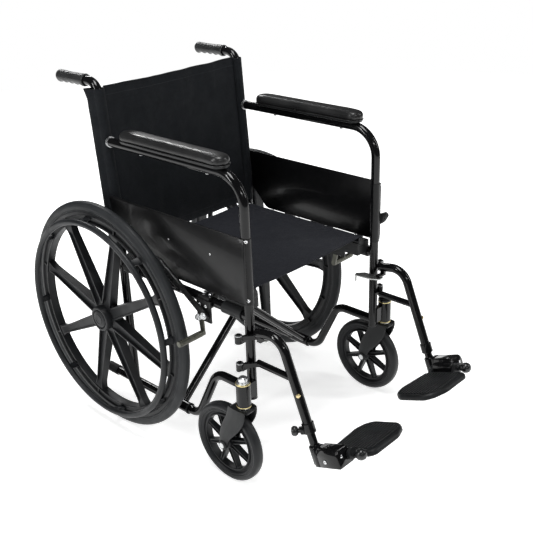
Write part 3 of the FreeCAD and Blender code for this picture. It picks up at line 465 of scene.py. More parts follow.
def spokes(shape, centre, side, phase, hub, rim, root, tip, depth):
    """Tapered I-section spokes that flare into the hub and the rim."""
    stations = [0, 0.02, 0.05, 0.1, 0.2, 0.4, 0.6, 0.8, 0.88, 0.93, 0.965, 1.0]
    for k in range(SPOKES):
        rings = []
        for t in stations:
            radius = hub + (rim - hub) * t
            flare = tip * 0.95 * max(0.0, (t - 0.84) / 0.16) ** 2.4
            width = root + (tip - root) * t + flare
            sunk = min(1.0, max(0.0, (t - 0.02) * 12), max(0.0, (0.95 - t) * 12))
            half = depth[0] + (depth[1] - depth[0]) * t
            rings.append(spoke_ring(centre, side, radius, phase + PITCH * k, width, half,
                                    0.01 + half * 0.62 * sunk, max(2.2, width * 0.24)))
        shape.loft(rings)


def rear_wheel(word, side):
    """Moulded wheel: channelled rim, ribbed spokes and a deep hub with a recessed cap."""
    centre = middle(word + "_rear_tyre")
    body = word + "_rear_wheel"
    phase = REAR_PHASE[word]
    shape = Shape(WHEEL)
    rim = rounded(mirrored([(-11.5, 280.5), (-12, 270.5), (-6.5, 269), (-5, 257), (-11, 255.5),
                            (-12, 250.5)]), 1.6, 3)
    shape.lathe(rim, centre, (side, 0, 0), 144)
    spokes(shape, centre, side, phase, 24, 254, 17, 9.5, (13, 9))
    for k in range(2 * SPOKES):
        degrees = phase + PITCH / 2 * k
        outline = [(-1.4, 255), (1.4, 255), (1.4, 272), (-1.4, 272)]
        across = tangent(side, degrees)
        shape.loft([[wheel_point(centre, side, along, r, degrees) + across * t for t, r in outline]
                    for along in (-10.5, 10.5)])
    hub = rounded([(-22, 14), (-22, 26), (-18, 31), (19, 34), (28.5, 32.5), (29.5, 27), (28, 24.5),
                   (22, 23.5), (22, 14)], 2.0, 3)
    shape.lathe(hub, centre, (side, 0, 0), 64)
    for k in range(SPOKES):
        degrees = phase + PITCH * k + PITCH / 2
        across = tangent(side, degrees)
        web = [(-1.5, 30), (1.5, 30), (1.0, 52), (-1.0, 52)]
        shape.loft([[wheel_point(centre, side, along * (1.6 if r < 40 else 0.6), r, degrees) + across * t
                     for t, r in web] for along in (-8, 8)])
    wheel = shape.make(word + "_rear_wheel_moulding", body, replaces=[word + "_rear_wheel"],
                       slot="wheel_plastic")
    bevel(wheel, 0.9)

    cap = rounded([(29.3, 0), (31.2, 0), (31.4, 9), (30.6, 17), (28.5, 23), (20, 24), (20, 21), (27, 18)],
                  1.6, 3)
    ring = rounded([(29, 10.5), (32, 11.5), (32, 14), (29, 15)], 0.8, 2)
    Shape(WHEEL).lathe(cap, centre, (side, 0, 0), 48).lathe(ring, centre, (side, 0, 0), 48).make(
        word + "_hub_cap", body, slot="wheel_plastic")

    tyre = rounded(mirrored([(-10.5, 279.5), (-12.4, 282.5), (-11.2, 284.2), (-12.5, 286.5),
                             (-12.5, 293), (-10.2, 300), (-6, 304)], [(0, 305)]), 1.6, 3)
    Shape(TYRE).lathe(tyre, centre, (side, 0, 0), 160).make(
        word + "_rear_tyre_moulding", body, replaces=[word + "_rear_tyre"], slot="tyre_rubber")
    handrim(word, side, centre, phase, body)


def handrim(word, side, centre, phase, body):
    """Oval-section hoop with its eight standoff tabs."""
    low, high = corners(word + "_handrim")
    half = (high.z - low.z) / 2
    tube = 8.0
    reach = abs(high.x if side > 0 else low.x) - abs(centre.x) - tube
    turn = [math.pi * k / 12 for k in range(24)]
    hoop = [(reach + tube * 0.99 * math.cos(a), half - tube + tube * math.sin(a)) for a in turn]
    shape = Shape(HANDRIM).lathe(hoop, centre, (side, 0, 0), 160)
    for k in range(SPOKES):
        degrees = phase + PITCH * k + PITCH / 2
        across = tangent(side, degrees)
        rings = []
        for t, width, thick in ((0, 11, 4.5), (0.15, 8.5, 3.6), (0.75, 7.5, 3.2), (1, 9, 4.2)):
            base = wheel_point(centre, side, 9 + (reach - 9) * t, half - tube - 1 + 5 * (1 - t), degrees)
            radial = wheel_point(Vector(), side, 0, 1, degrees)
            section = rounded(oblong(width, thick), 1.5, 2)
            rings.append([base + across * p.x + radial * p.y for p in section])
        shape.loft(rings)
    shape.make(word + "_handrim_moulding", body, replaces=[word + "_handrim"], slot="handrim_plastic")


def caster_wheel(word, side):
    """Moulded caster: rim, ribbed spokes and hub under a solid tyre."""
    centre = middle(word + "_caster_tyre")
    body = word + "_caster_wheel"
    shape = Shape(WHEEL)
    rim = rounded(mirrored([(-11, 87), (-12.5, 84), (-9, 80), (-5, 78.5), (-5, 75), (-9, 73.5),
                            (-10, 70)]), 1.2, 3)
    shape.lathe(rim, centre, (side, 0, 0), 96)
    spokes(shape, centre, side, CASTER_PHASE, 10, 73, 6.0, 4.2, (8.5, 6.5))
    hub = rounded(mirrored([(-16.5, 4.4), (-16.5, 9), (-13, 15)]), 1.5, 3)
    shape.lathe(hub, centre, (side, 0, 0), 40)
    bevel(shape.make(word + "_caster_wheel_moulding", body, replaces=[word + "_caster_wheel"],
                     slot="wheel_plastic"), 0.6)
    tyre = rounded(mirrored([(-12, 85.5), (-13.8, 87.5), (-12.6, 89), (-14, 91), (-13.4, 95),
                             (-10, 99.6), (-5, 101.2)], [(0, 101.5)]), 1.2, 3)
    Shape(CASTER_RUBBER).lathe(tyre, centre, (side, 0, 0), 112).make(
        word + "_caster_tyre_moulding", body, replaces=[word + "_caster_tyre"], slot="caster_rubber")


FORK_LEG = (          # height, front edge and rear edge of the fork leg, from the axle
    (118, -76, -22), (110, -77, -20), (98, -75, -17), (84, -70, -11), (70, -62, -3), (56, -52, 4),
    (42, -40, 9), (28, -27, 12.5), (15, -17, 14.2), (6, -13.5, 14.2), (-2, -13.4, 13.4),
    (-8, -11, 11), (-12, -7, 7), (-13.6, -2.5, 2.5))


def caster_fork(word):
    """One-piece moulded fork: two curved crowned legs that meet in a rounded crown."""
    centre = middle(word + "_caster_axle")
    body = word + "_caster_fork"
    low, high = corners(word + "_caster_fork")
    half = (high.x - low.x) / 2
    shape = Shape(FORK)
    top = high.z - centre.z
    for direction in (-1, 1):
        rings = [[centre + Vector((direction * (half - p.y), p.x, height))
                  for p in leg_outline(front, rear, 5.6)] for height, front, rear in reversed(FORK_LEG)]
        for t in (0.25, 0.5, 0.75, 1.0):
            bend = t * math.pi / 2
            x = half - 12 * (1 - math.cos(bend))
            z = 118 + (top - 118) * math.sin(bend)
            rings.append([Vector((centre.x + direction * (x - p.y * math.cos(bend)), p.x + centre.y,
                                  centre.z + z - p.y * math.sin(bend)))
                          for p in leg_outline(-76 - 1.5 * t, -22 + 2 * t, 5.6 + 6 * t)])
        rings.append([Vector((centre.x, p.y, p.z)) for p in rings[-1]])
        shape.loft(rings)
    boss = rounded([(18.5, 4.2), (18.5, 13), (26, 12), (27, 9), (27, 4.2)], 1.2, 3)
    for direction in (-1, 1):
        shape.lathe(boss, centre, (direction, 0, 0), 32)
    collar = rounded([(-14, 8), (-14, 21), (-5, 19.5), (-5, 8)], 2, 3)
    stem = middle(word + "_caster_stem")
    shape.lathe(collar, (stem.x, stem.y, high.z + 5), (0, 0, 1), 40)
    piece = shape.make(word + "_fork_moulding", body, sharp=50, replaces=[word + "_caster_fork"],
                       slot="fork_plastic")
    bevel(piece, 0.8, 2, 50)


def leg_outline(front, rear, thick):
    """Section of a fork leg: crowned outside, nearly flat inside."""
    span = rear - front
    outline = [(front, thick * 0.45), (front + span * 0.12, thick * 0.1), (front + span * 0.35, -0.8),
               (front + span * 0.65, -0.8), (rear - span * 0.12, thick * 0.1), (rear, thick * 0.45),
               (rear - span * 0.08, thick), (front + span * 0.08, thick)]
    return rounded(outline, 2.2, 2)


def hexagon(shape, centre, axis, radius, low, high, finish):
    """A chamfered nut or bolt head."""
    profile = [(low, 0), (low, radius * 0.93), (low + 0.6, radius), (high - 0.8, radius),
               (high, radius * 0.88), (high, 0)]
    return shape.lathe(profile, centre, axis, 6, finish)


def caster_trim(word, side):
    """Zinc rings at both ends of the barrel, and the stem's nut or dust cap."""
    low = corners(word + "_caster_barrel_and_lugs")[0]
    stem = middle(word + "_caster_stem")
    top = corners(word + "_caster_stem")[1].z - 15
    at = Vector((stem.x, stem.y, 0))
    shape = Shape(YELLOW_ZINC)
    for level in (low.z - 0.2, top - 2.2):
        shape.lathe(band(level, level + 2.4, 12, 17.6, 0.6),
                    at, (0, 0, 1), 40)
    shape.make(word + "_barrel_rings", word + "_frame")
    if side < 0:
        nut = Shape(ZINC)
        nut.lathe(band(top + 0.4, top + 2.6, 3, 15, 0.5),
                  at, (0, 0, 1), 40)
        hexagon(nut, at, (0, 0, 1), 11, top + 2.4, top + 10, ZINC)
        nut.lathe(rounded([(top + 9, 0), (top + 9, 6.4), (top + 14.6, 6.0), (top + 15, 0)], 0.6, 2),
                  at, (0, 0, 1), 24)
        nut.make(word + "_stem_nut", word + "_caster_fork")
    else:
        cap = rounded([(top + 0.4, 0), (top + 0.4, 17.5), (top + 5, 17.5), (top + 12, 13),
                       (top + 15.5, 9), (top + 16.5, 0)], 2.5, 4)
        Shape(KNOB).lathe(cap, at, (0, 0, 1), 40).make(word + "_stem_cap", word + "_caster_fork")


# ---- Frame trim ----
def screw_head(shape, at, axis, radius, height, finish=ZINC):
    """A domed head with a dark cross on its top: painted shade standing in for a shallow cross recess."""
    profile = rounded([(0, 0), (0, radius), (height * 0.5, radius), (height, radius * 0.55),
                       (height, 0)], radius * 0.2, 3)
    shape.lathe(profile, at, axis, 24, finish)
    axis = Vector(axis).normalized()
    side = axis.orthogonal().normalized()
    # The cross is two thin bars in the dark finish, not cut into the head: painted shade of the recess.
    for arm in (side, axis.cross(side)):
        other = axis.cross(arm)
        spot = Vector(at) + axis * height
        shape.loft([[spot + arm * a + other * b + axis * level
                     for a, b in oblong(radius * 0.5, radius * 0.1)] for level in (-0.4, 0.12)],
                   finish=BLACK_STEEL_AND_RECESS_SHADE)


def frame_trim(word, side):
    """Rubber tips, plugs, sleeves and the screws that show on the tubes."""
    body = word + "_frame"
    rail_low, rail_high = corners(word + "_lower_side_rail")
    x = middle(word + "_lower_side_rail").x
    z = rail_low.z + TUBE_R
    end = rail_high.y
    tip = rounded([(-46, 11.2), (-46, 13.2), (-1, 13.4), (2.5, 11), (2.5, 0), (0.2, 0), (0.2, 11.2)],
                  1.2, 3)
    shape = Shape(RUBBER_TIP).lathe(tip, (x, end, z), (0, 1, 0), 40)
    post_low = corners(word + "_arm_and_front_post")[0]
    post = Vector((x, post_low.y + TUBE_R, post_low.z))
    plug = rounded([(-3, 0), (-3, 8), (-0.5, 11.4), (1, 11.4), (1, 0)], 1.4, 4)
    shape.lathe(plug, post, (0, 0, 1), 40, KNOB)
    shape.lathe(plug, (x, CANE_Y, rail_low.z + 1), (0, 0, 1), 40, KNOB)
    shape.make(word + "_tube_ends", body)

    sleeve = band(0, 30, 11.15, 13.4, 0.8, 3)
    upper = middle(word + "_upper_side_rail")
    ring = Shape(PAINT).lathe(sleeve, (upper.x, -205, upper.z), (0, 1, 0), 40)
    ring.make(word + "_rail_sleeve", body)

    trim = Shape(ZINC)
    guard_low, guard_high = corners(word + "_skirt_guard")
    for level in (guard_high.z - 5, guard_low.z + 12):
        screw_head(trim, (x + side * 8.8, post.y - 8.8, level), (side, -1, 0), 4.2, 2.4)
    for y in (-120, 20, 160):
        screw_head(trim, (side * 242.0, y, guard_high.z - 62), (side, 0, 0), 2.4, 1.0)
    screw_head(trim, (x + side * 10.8, post.y, post.z + 28), (side, 0, 0), 4.2, 2)
    trim.make(word + "_frame_screws", body)
    saddle(word, x)


def saddle(word, x):
    """Bright-edged clip where the arm tube meets the back cane."""
    z = corners(word + "_arm_and_front_post")[1].z - TUBE_R
    y = cane_line(z)
    shape = Shape(ZINC)
    for offset in (-15.2, -19.4):
        shape.lathe(band(0, 1.6, 11.15, 13, 0.3),
                    (x, y + offset, z), (0, 1, 0), 40)
    shape.lathe(band(1.4, -3.2, 11.12, 12.4, 0.3),
                (x, y - 16, z), (0, 1, 0), 40, BLACK_STEEL_AND_RECESS_SHADE)
    shape.make(word + "_arm_saddle", word + "_frame")


def skirt_guard(word, side):
    """Pressed sheet with rounded corners, a rolled edge and a flange round the post."""
    low, high = corners(word + "_skirt_guard")
    body = word + "_frame"
    outer = high.x if side > 0 else low.x
    outline = rounded([(low.y + 6, low.z), (high.y - 68, low.z), (high.y, low.z + 68),
                       (high.y, high.z), (low.y + 6, high.z)], 10, 6)

    def place(u, v, w):
        cane_side = max(0.0, min(1.0, (u - 150) / 60))
        return Vector((outer - side * (1 - w) + side * 1.1 * cane_side, u, v))

    shape = Shape(SHEET_PAINT)
    shape.slab(outline, place, 0.0, 1.0, 0.3)
    hem = [place(p.x, p.y, 0.5) for p in outline]
    shape.sweep(hem + hem[:2], circle(1.15, 10), up=(side, 0, 0), caps=False)
    centre = Vector((side * TUBE_X, -222, 0))
    arc = [math.radians(a) for a in range(0, 176, 11)]
    hook = [(r * math.cos(a), -r * math.sin(a)) for r, turn in ((11.5, arc), (12.5, arc[::-1])) for a in turn]
    shape.loft([[centre + Vector((side * u, v, level)) for u, v in hook]
                for level in (low.z + 0.6, high.z - 0.6)])
    shape.make(word + "_skirt_guard_sheet", body, sharp=50, replaces=[word + "_skirt_guard"],
               slot="guard_paint")


# ---- Pads and grips ----
def capsule(half_width, length, steps=10):
    """Outline of a long pad with round ends, its length along v."""
    reach = length / 2 - half_width
    turn = [math.pi * k / steps for k in range(steps + 1)]
    return ([(half_width * math.cos(a), reach + half_width * math.sin(a)) for a in turn]
            + [(-half_width * math.cos(a), -reach - half_width * math.sin(a)) for a in turn])


def puffed(piece, rest, pressure, cap, frames=20):
    """Swell a closed mesh with the cloth solver, then keep each point within the cap."""
    remesh = piece.modifiers.new("even_faces", "REMESH")
    remesh.mode = "VOXEL"
    remesh.voxel_size = 0.0045
    apply_modifiers(piece)
    start = [v.co.copy() for v in piece.data.vertices]
    cloth = piece.modifiers.new("puff", "CLOTH")
    cloth.settings.use_pressure = True
    cloth.settings.uniform_pressure_force = pressure
    cloth.settings.effector_weights.gravity = 0
    cloth.settings.quality = 5
    for step in range(1, frames + 1):
        scene.frame_set(step)
    apply_modifiers(piece)
    scene.frame_set(1)
    for vertex, origin in zip(piece.data.vertices, start):
        move = vertex.co - origin
        if move.length > cap * MM:
            move = move.normalized() * cap * MM
        vertex.co = origin + move
        vertex.co.z = max(vertex.co.z, rest * MM)
    return piece


def armrest_pad(word):
    """Vinyl-skinned foam rest, puffed over a moulded base with a welt between them."""
    low, high = corners(word + "_armrest_pad")
    centre = (low + high) / 2
    length = high.y - low.y
    body = word + "_frame"

    def ring(inwards, level):
        return [Vector((centre.x + u, centre.y + v, level))
                for u, v in capsule(high.x - centre.x - inwards, length - 2 * inwards)]

    foam = Shape(PAD_VINYL)
    levels = [(3.5, 5.5), (1.4, 8), (0.8, 12), (1.4, 18), (3.8, 23), (8, 25.8), (15, 27)]
    foam.loft([ring(i, low.z + z) for i, z in levels])
    pad = foam.make(word + "_armrest_cushion", replaces=[word + "_armrest_pad"], slot="pad_vinyl")
    puffed(pad, low.z + 5.5, 4.0, 2.0)
    pad.modifiers.new("finer", "SUBSURF").render_levels = 1
    apply_modifiers(pad)
    pad.data.polygons.foreach_set("use_smooth", [True] * len(pad.data.polygons))
    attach(pad, body)

    base = Shape(SADDLE)
    base.loft([ring(i, low.z + z) for i, z in ((5, -0.2), (3, 1.2), (2.2, 4.5), (3.5, 6.5))])
    welt = ring(1.6, low.z + 6.2)
    base.sweep(welt + welt[:2], circle(1.1, 8), up=(0, 0, 1), caps=False, finish=PAD_VINYL)
    for y in (-0.32, 0.32):
        at = (centre.x, centre.y + y * length, low.z - 22.5)
        screw_head(base, at, (0, 0, -1), 4.5, 2.4, ZINC)
    base.make(word + "_armrest_base", body, slot="saddle_plastic")


def push_grip(word):
    """Vinyl grip: end flanges, a smooth back and four finger scallops underneath."""
    low, high = corners(word + "_push_grip")
    centre = (low + high) / 2
    length = high.y - low.y
    full = (high.z - low.z) / 2
    rings = []
    steps = 72
    for i in range(steps + 1):
        t = i / steps
        end = min(t, 1 - t) * length
        lip = 1.0 if end > 5 else 1.0 - 0.16 * (1 - end / 5) ** 2
        scallop = abs(math.sin(math.pi * (t - 0.07) / 0.215)) if 0.07 < t < 0.93 else 0.0
        radius = (full - 1.6 + 0.5 * math.cos(t * math.pi * 2)) * lip
        ring = []
        for u, v in circle(1, 40):
            under = max(0.0, -v) ** 1.5
            depth = radius + under * (1.5 - 3.4 * scallop)
            ring.append(Vector((centre.x + u * radius, low.y + t * length, centre.z + v * depth)))
        rings.append(ring)
    dome = [[Vector((centre.x + (p.x - centre.x) * s, high.y + dy, centre.z + (p.z - centre.z) * s))
             for p in rings[-1]] for s, dy in ((0.93, -0.6), (0.8, 0.0), (0.4, 0.4), (0.06, 0.5))]
    shape = Shape(GRIP_VINYL).loft(rings + dome)
    collar = rounded([(-2, 11.2), (-2, 14.4), (1.5, 15.2), (4, 14.6), (4, 11.2)], 0.9, 3)
    shape.lathe(collar, (centre.x, low.y, centre.z), (0, 1, 0), 40)
    shape.make(word + "_push_grip_sleeve", word + "_frame", sharp=60,
               replaces=[word + "_push_grip"], slot="grip_vinyl")


# ---- Footrests ----
FOOT_PITCH = math.atan2(82, 207)      # lean of the hanger's straight leg
HANGER_END = Vector((0, -396, 205))
FOOT_DROP = {"right": 52.0, "left": 36.0}
UP_LEG = Vector((0, math.sin(FOOT_PITCH), math.cos(FOOT_PITCH)))
ALONG_PIN = Vector((0, math.cos(FOOT_PITCH), -math.sin(FOOT_PITCH)))
PIN_X = 212.0
PIN_RISE = -2.0
BLOCK_FRONT = -82.4
TREAD = (              # outline of the plate from its hinge side: inboard reach, fore-and-aft
    (196, 32), (170, 41), (95, 49), (67, 41), (50.5, 22), (50.5, -52), (67, -71), (101, -85),
    (184, -85), (196, -72))


def foot_place(word, side):
    """Turns (x, fore-and-aft, height) at the foot of a slide into a point."""
    foot = HANGER_END - UP_LEG * FOOT_DROP[word]
    return lambda u, v, w: foot + Vector((side * u, 0, 0)) + ALONG_PIN * v + UP_LEG * w


def footplate(word, side):
    """Ribbed tread inside a chamfered rim, hollow underneath, with two hinge knuckles."""
    place = foot_place(word, side)
    middle_v = BLOCK_FRONT + 37
    outline = rounded([(u, v + middle_v) for u, v in TREAD], 9, 5)
    top = PIN_RISE - 2
    shape = Shape(PLATE)
    levels = ((9, top - 6), (6.5, top - 12.6), (1.6, top - 13), (0.2, top - 11.4), (0.2, top - 5),
              (1, top - 3.4), (4.0, top - 0.3), (8.5, top), (9.5, top - 1.2))
    shape.loft([[place(p.x, p.y, w) for p in inset(outline, deep)] for deep, w in levels])
    for k in range(13):
        v = middle_v - 68 + 8.4 * k
        reach = 64 if abs(v - middle_v + 15) < 45 else 76
        ends = (reach, 182 if abs(v - middle_v + 15) < 48 else 176)
        section = rounded([(-1.7, -1.6), (1.7, -1.6), (1.1, 0.9), (-1.1, 0.9)], 0.5, 2)
        shape.loft([[place(u, v + p.x, top + p.y) for p in section] for u in ends])
    for v in (middle_v - 40, middle_v + 12):
        web = ((v - 1.5, top - 5), (v + 1.5, top - 5), (v + 1.5, top - 12), (v - 1.5, top - 12))
        shape.loft([[place(u, *p) for p in web] for u in (59, 188)])
    for start, length, radius in ((BLOCK_FRONT - 10, 9.4, 12.8), (-21.9, 9.6, 6.9)):
        turn = [math.radians(a) for a in range(-60, 151, 15)]
        knuckle = [(PIN_X + radius * math.cos(a), PIN_RISE + radius * math.sin(a)) for a in turn]
        knuckle += [(193, top), (193, top - 11)]
        rings = []
        for deep, v in ((1.0, start), (0.0, start + 1), (0.0, start + length - 1), (1.0, start + length)):
            rings.append([place(p.x, v, p.y) for p in inset(knuckle, deep)])
        shape.loft(rings)
    piece = shape.make(word + "_footplate_moulding", word + "_footplate", sharp=32,
                       replaces=[word + "_footplate"], slot="plate_plastic")
    bevel(piece, 0.5, 2)


def hinge_block(word, side):
    """Telescoping slide: tube, cast hinge block and clasp; and the hinge pin with its knob."""
    place = foot_place(word, side)
    shape = Shape(PAINT)
    tube = rounded([(-21, 7.9), (108, 7.9), (108, 9.42), (-21, 9.42)], 0.4, 2)
    shape.lathe(tube, place(TUBE_X, 0, 0), UP_LEG, 40)
    front = rounded([(202.4, -22), (252, -22), (252, 10), (244, 22), (215, 22), (212.3, 12), (205, 9),
                     (202.4, 3)], 5, 4)
    rear = rounded([(219.6, -22), (252, -22), (252, 10), (244, 22), (219.6, 22)], 5, 4)
    for outline, start, end in ((front, BLOCK_FRONT, -22.6), (rear, -24.0, -8.6)):
        rings = []
        for deep, v in ((3.2, start), (1.0, start + 1.2), (0.0, start + 3.4), (0.0, end - 1.0), (0.8, end)):
            rings.append([place(p.x, v, p.y) for p in inset(outline, deep)])
        shape.loft(rings)
    clasp = rounded([(-22, 9.3), (-22, 13.5), (20, 13.5), (23, 9.3)], 1.6, 3)
    shape.lathe(clasp, place(TUBE_X, 0, 0), UP_LEG, 40)
    screw_head(shape, place(252, BLOCK_FRONT + 40, -6), (side, 0, 0), 4.5, 2.2)
    screw_head(shape, place(238, BLOCK_FRONT + 0.4, 4), -ALONG_PIN, 3.6, 1.6)
    piece = shape.make(word + "_hinge_block", word + "_slide", sharp=40,
                       replaces=[word + "_footrest_slide"], slot="slide_paint")
    bevel(piece, 0.6, 2, 40)

    pin = Shape(KNOB)
    profile = [(-13, 0), (-12.6, 4), (-11.5, 7.4), (-8, 10.9), (-3, 12.8), (3, 12.8), (8, 10.4), (11, 7.6),
               (17, 6.4), (21.4, 7.2), (22.0, 4.0), (22.0, 0)]
    at = place(PIN_X, BLOCK_FRONT - 32, PIN_RISE)
    pin.lathe(profile, at, ALONG_PIN, 40)
    pin.lathe([(20, 0), (20, 4), (105, 4), (106, 3.2), (106, 0)], at, ALONG_PIN, 24, ZINC)
    pin.make(word + "_hinge_pin_knob", word + "_foot_pin", replaces=[word + "_footplate_hinge_pin"],
             slot="knob_plastic")


def hanger_trim(word, side):
    """Height clamp with its knob or bolt, push button, end plugs and bush rings."""
    body = word + "_hanger"
    shape = Shape(PAINT)
    end = HANGER_END + Vector((side * TUBE_X, 0, 0))
    away = Vector((side, 0.9, 0)).normalized()
    across = UP_LEG.cross(away).normalized()
    ear = rounded(oblong(4.4, 9), 2.0, 3)
    spot = end + UP_LEG * 5
    shape.loft([[spot + away * d + across * p.x * k + UP_LEG * p.y * k for p in ear]
                for d, k in ((11.5, 1.0), (20.5, 1.0), (22, 0.86))])
    if side < 0:
        knob = [(21, 0), (21, 5), (25, 5.4), (27, 9.4), (31, 11.4), (36, 11.2), (40, 8), (41.4, 0)]
        shape.lathe(knob, spot, away, 32, KNOB)
    else:
        hexagon(shape, spot, away, 7.4, 21.8, 27, ZINC)
    lip = rounded([(-1.2, 9.7), (-1.2, 13.2), (2.2, 14.4), (2.2, 9.7)], 0.9, 3)
    shape.lathe(lip, end, UP_LEG, 40, KNOB)
    button = end + UP_LEG * 92 + Vector((side * 7.6, -7.6, 0))
    out = Vector((side, -1, 0)).normalized()
    shape.lathe([(0, 0), (0, 5.2), (1.2, 5.2), (1.8, 4.2), (3.2, 3.9), (3.8, 2.6), (4.0, 0)], button, out,
                28, BRASS)
    for level in (384.0, 314.0):
        eye = Vector((side * 262.0, -219.0, level))
        shape.lathe(band(11.8, 13.6, 5.2, 8.6, 0.4), eye, (0, 0, 1),
                    32, ZINC)
    start = Vector((side * TUBE_X, -244.0, 398.0))
    aim = Vector((0, -70, 14)).normalized()
    plug = rounded([(-2.6, 0), (-2.6, 8), (-0.4, 11), (1.2, 11), (1.2, 0)], 1.2, 3)
    shape.lathe(plug, start, aim, 32, KNOB)
    nose = Vector((side * TUBE_X, -354.0, 322.0))
    shape.lathe(rounded([(-1, 0), (-1, 8), (1.2, 7.6), (2.4, 5), (2.4, 0)], 0.8, 3), nose, (0, -1, 0), 28,
                KNOB)
    shape.make(word + "_hanger_fittings", body, sharp=40)


# ---- Brakes and cross-brace ----
LEVER_TURN = {"right": math.radians(32), "left": math.radians(137)}
SHOE_TURN = {"right": math.radians(-95), "left": math.radians(-76)}
LEVER_PIVOT = (-102, 404)
SHOE_PIVOT = (-84, 396)


def brake_trim(word, side):
    """Moulded lever grip, pivot bolts, clamp bolts and the ribbed end of the shoe bar."""
    angle = LEVER_TURN[word]
    along = Vector((0, math.cos(angle), math.sin(angle)))
    across = Vector((0, -math.sin(angle), math.cos(angle)))
    pivot = Vector((side * 254.4, *LEVER_PIVOT))
    grip = Shape(GRIP_VINYL)
    rings = []
    stations = 26
    for k in range(stations + 1):
        t = k / stations
        end = min(1.0, 0.35 + 4.2 * t, 0.3 + 5.0 * (1 - t)) if t < 1 else 0.25
        wide = (9.6 + 2.2 * t + 0.7 * math.cos(t * 24)) * end ** 0.5
        thick = (7.4 + 0.8 * t) * end ** 0.5
        centre = pivot + along * (82 + 110 * t)
        rings.append([centre + across * u * wide + Vector((v * thick, 0, 0)) for u, v in circle(1, 28)])
    grip.loft(rings)
    for k in range(6):
        at = pivot + along * (112 + 9 * k)
        grip.loft([[at + along * a + across * b + Vector((side * c, 0, 0)) for a, b in oblong(1.6, 6.5)]
                   for c in (6.8, 8.9)])
    bevel(grip.make(word + "_brake_grip", word + "_brake_lever"), 0.5)

    bolts = Shape(ZINC)
    for y, z in (LEVER_PIVOT, SHOE_PIVOT):
        hexagon(bolts, (side * 259.2, y, z), (side, 0, 0), 7.0, 0, 4.2, ZINC)
        bolts.lathe([(-3.0, 4.2), (-3.0, 8.6), (-0.2, 8.6), (-0.2, 4.2)], (side * 259.2, y, z),
                    (side, 0, 0), 28)
    for y in (-100, -80):
        screw_head(bolts, (side * 247.0, y, 424), (side, 0, 0), 4.4, 3.0)
        hexagon(bolts, (side * TUBE_X, y, 446), (0, 0, 1), 5.6, 0, 4.4, ZINC)
    plate = rounded([(-112, 432), (-70, 432), (-66, 424), (-66, 418), (-114, 418)], 3, 3)
    bolts.slab(plate, lambda u, v, w: Vector((side * w, u, v)), 243.4, 247.2, 0.8, BLACK_STEEL_AND_RECESS_SHADE)
    bolts.make(word + "_brake_bolts", word + "_frame")

    turn = SHOE_TURN[word]
    drop = Vector((0, math.cos(turn), math.sin(turn)))
    bar = Vector((side * 247.2, *SHOE_PIVOT)) + drop * 43
    tread = Shape(OLIVE_ZINC)
    profile = [(6, 6.6)]
    for k in range(11):
        profile += [(9 + 6 * k, 6.9), (9.6 + 6 * k, 7.7), (12.4 + 6 * k, 7.7), (13 + 6 * k, 6.9)]
    profile += [(77, 7.2), (78.5, 5.4), (78.5, 0), (6, 0)]
    tread.lathe(profile, bar, (side, 0, 0), 32)
    tread.make(word + "_shoe_tread", word + "_brake_shoe")


def cross_trim():
    """Hex bolt and nut at the pivot of the cross-brace, bushes and end caps on its sleeves."""
    low, high = corners("cross_bolt")
    at = Vector((0, 0, (low.z + high.z) / 2))
    bolt = Shape(ZINC)
    bolt.lathe([(low.y + 2, 0), (low.y + 2, 4), (high.y - 2, 4), (high.y - 2, 0)], at, (0, 1, 0), 24)
    hexagon(bolt, at, (0, 1, 0), 8.6, low.y, low.y + 6.4, ZINC)
    hexagon(bolt, at, (0, 1, 0), 8.6, high.y - 6, high.y, ZINC)
    for start in (low.y + 6.6, high.y - 7.6):
        bolt.lathe([(start, 4), (start, 9.2), (start + 1.4, 9.2), (start + 1.4, 4)], at, (0, 1, 0), 32)
    bolt.make("cross_bolt_head", "single_arm", replaces=["cross_bolt"], slot="bolt_steel")
    for label, body, side, half in (("single", "single_arm", -1, 28), ("twin", "twin_arm", 1, 32)):
        caps = Shape(SADDLE)
        for direction in (-1, 1):
            ring = band(-1.5, 2.2, 11.3, 14.8, 0.6)
            caps.lathe(ring, (side * TUBE_X, 36 + direction * half, 92), (0, direction, 0), 36)
        caps.make("cross_arm_%s_bushes" % label, body)


# ---- Upholstery ----
def ripple(x, y, scale, seed):
    return noise.noise(Vector((x / scale, y / scale, seed)))


def add_sheet(shape, grid, thickness):
    """Adds a thin closed sheet over a grid of points; grid[i][j] are Vectors."""
    rows, columns = len(grid), len(grid[0])
    faces = []
    for i in range(rows - 1):
        for j in range(columns - 1):
            a = i * columns + j
            faces.append((a, a + 1, a + columns + 1, a + columns))
    verts = [p for row in grid for p in row]
    normals = [Vector() for _ in verts]
    for face in faces:
        a, b, c, d = (verts[k] for k in face)
        normal = (c - a).cross(d - b)
        for k in face:
            normals[k] += normal
    first = len(shape.verts)
    for sign in (0.5, -0.5):
        shape.verts.extend(v + n.normalized() * thickness * sign for v, n in zip(verts, normals))
    count = len(verts)
    solid = faces + [tuple(k + count for k in reversed(f)) for f in faces]
    rim = ([i * columns for i in range(rows)] + [(rows - 1) * columns + j for j in range(1, columns)]
           + [i * columns + columns - 1 for i in range(rows - 2, -1, -1)]
           + [j for j in range(columns - 2, 0, -1)])
    for a, b in zip(rim, rim[1:] + rim[:1]):
        solid.append((a, b, b + count, a + count))
    shape.faces.extend(tuple(k + first for k in f) for f in solid)
    shape.marks.extend([0] * len(solid))
    return shape


def stitches(shape, path, pitch=4.2, width=0.5):
    """A row of short thread loops along a path of points."""
    length = sum((b - a).length for a, b in zip(path, path[1:]))
    count = int(length / pitch)
    spots = resampled(path, count * 2)
    for a, b in zip(spots[0::2], spots[1::2]):
        shape.sweep([a, (a + b) / 2, b], circle(width, 5), THREAD, up=(0.3, 0.2, 1))


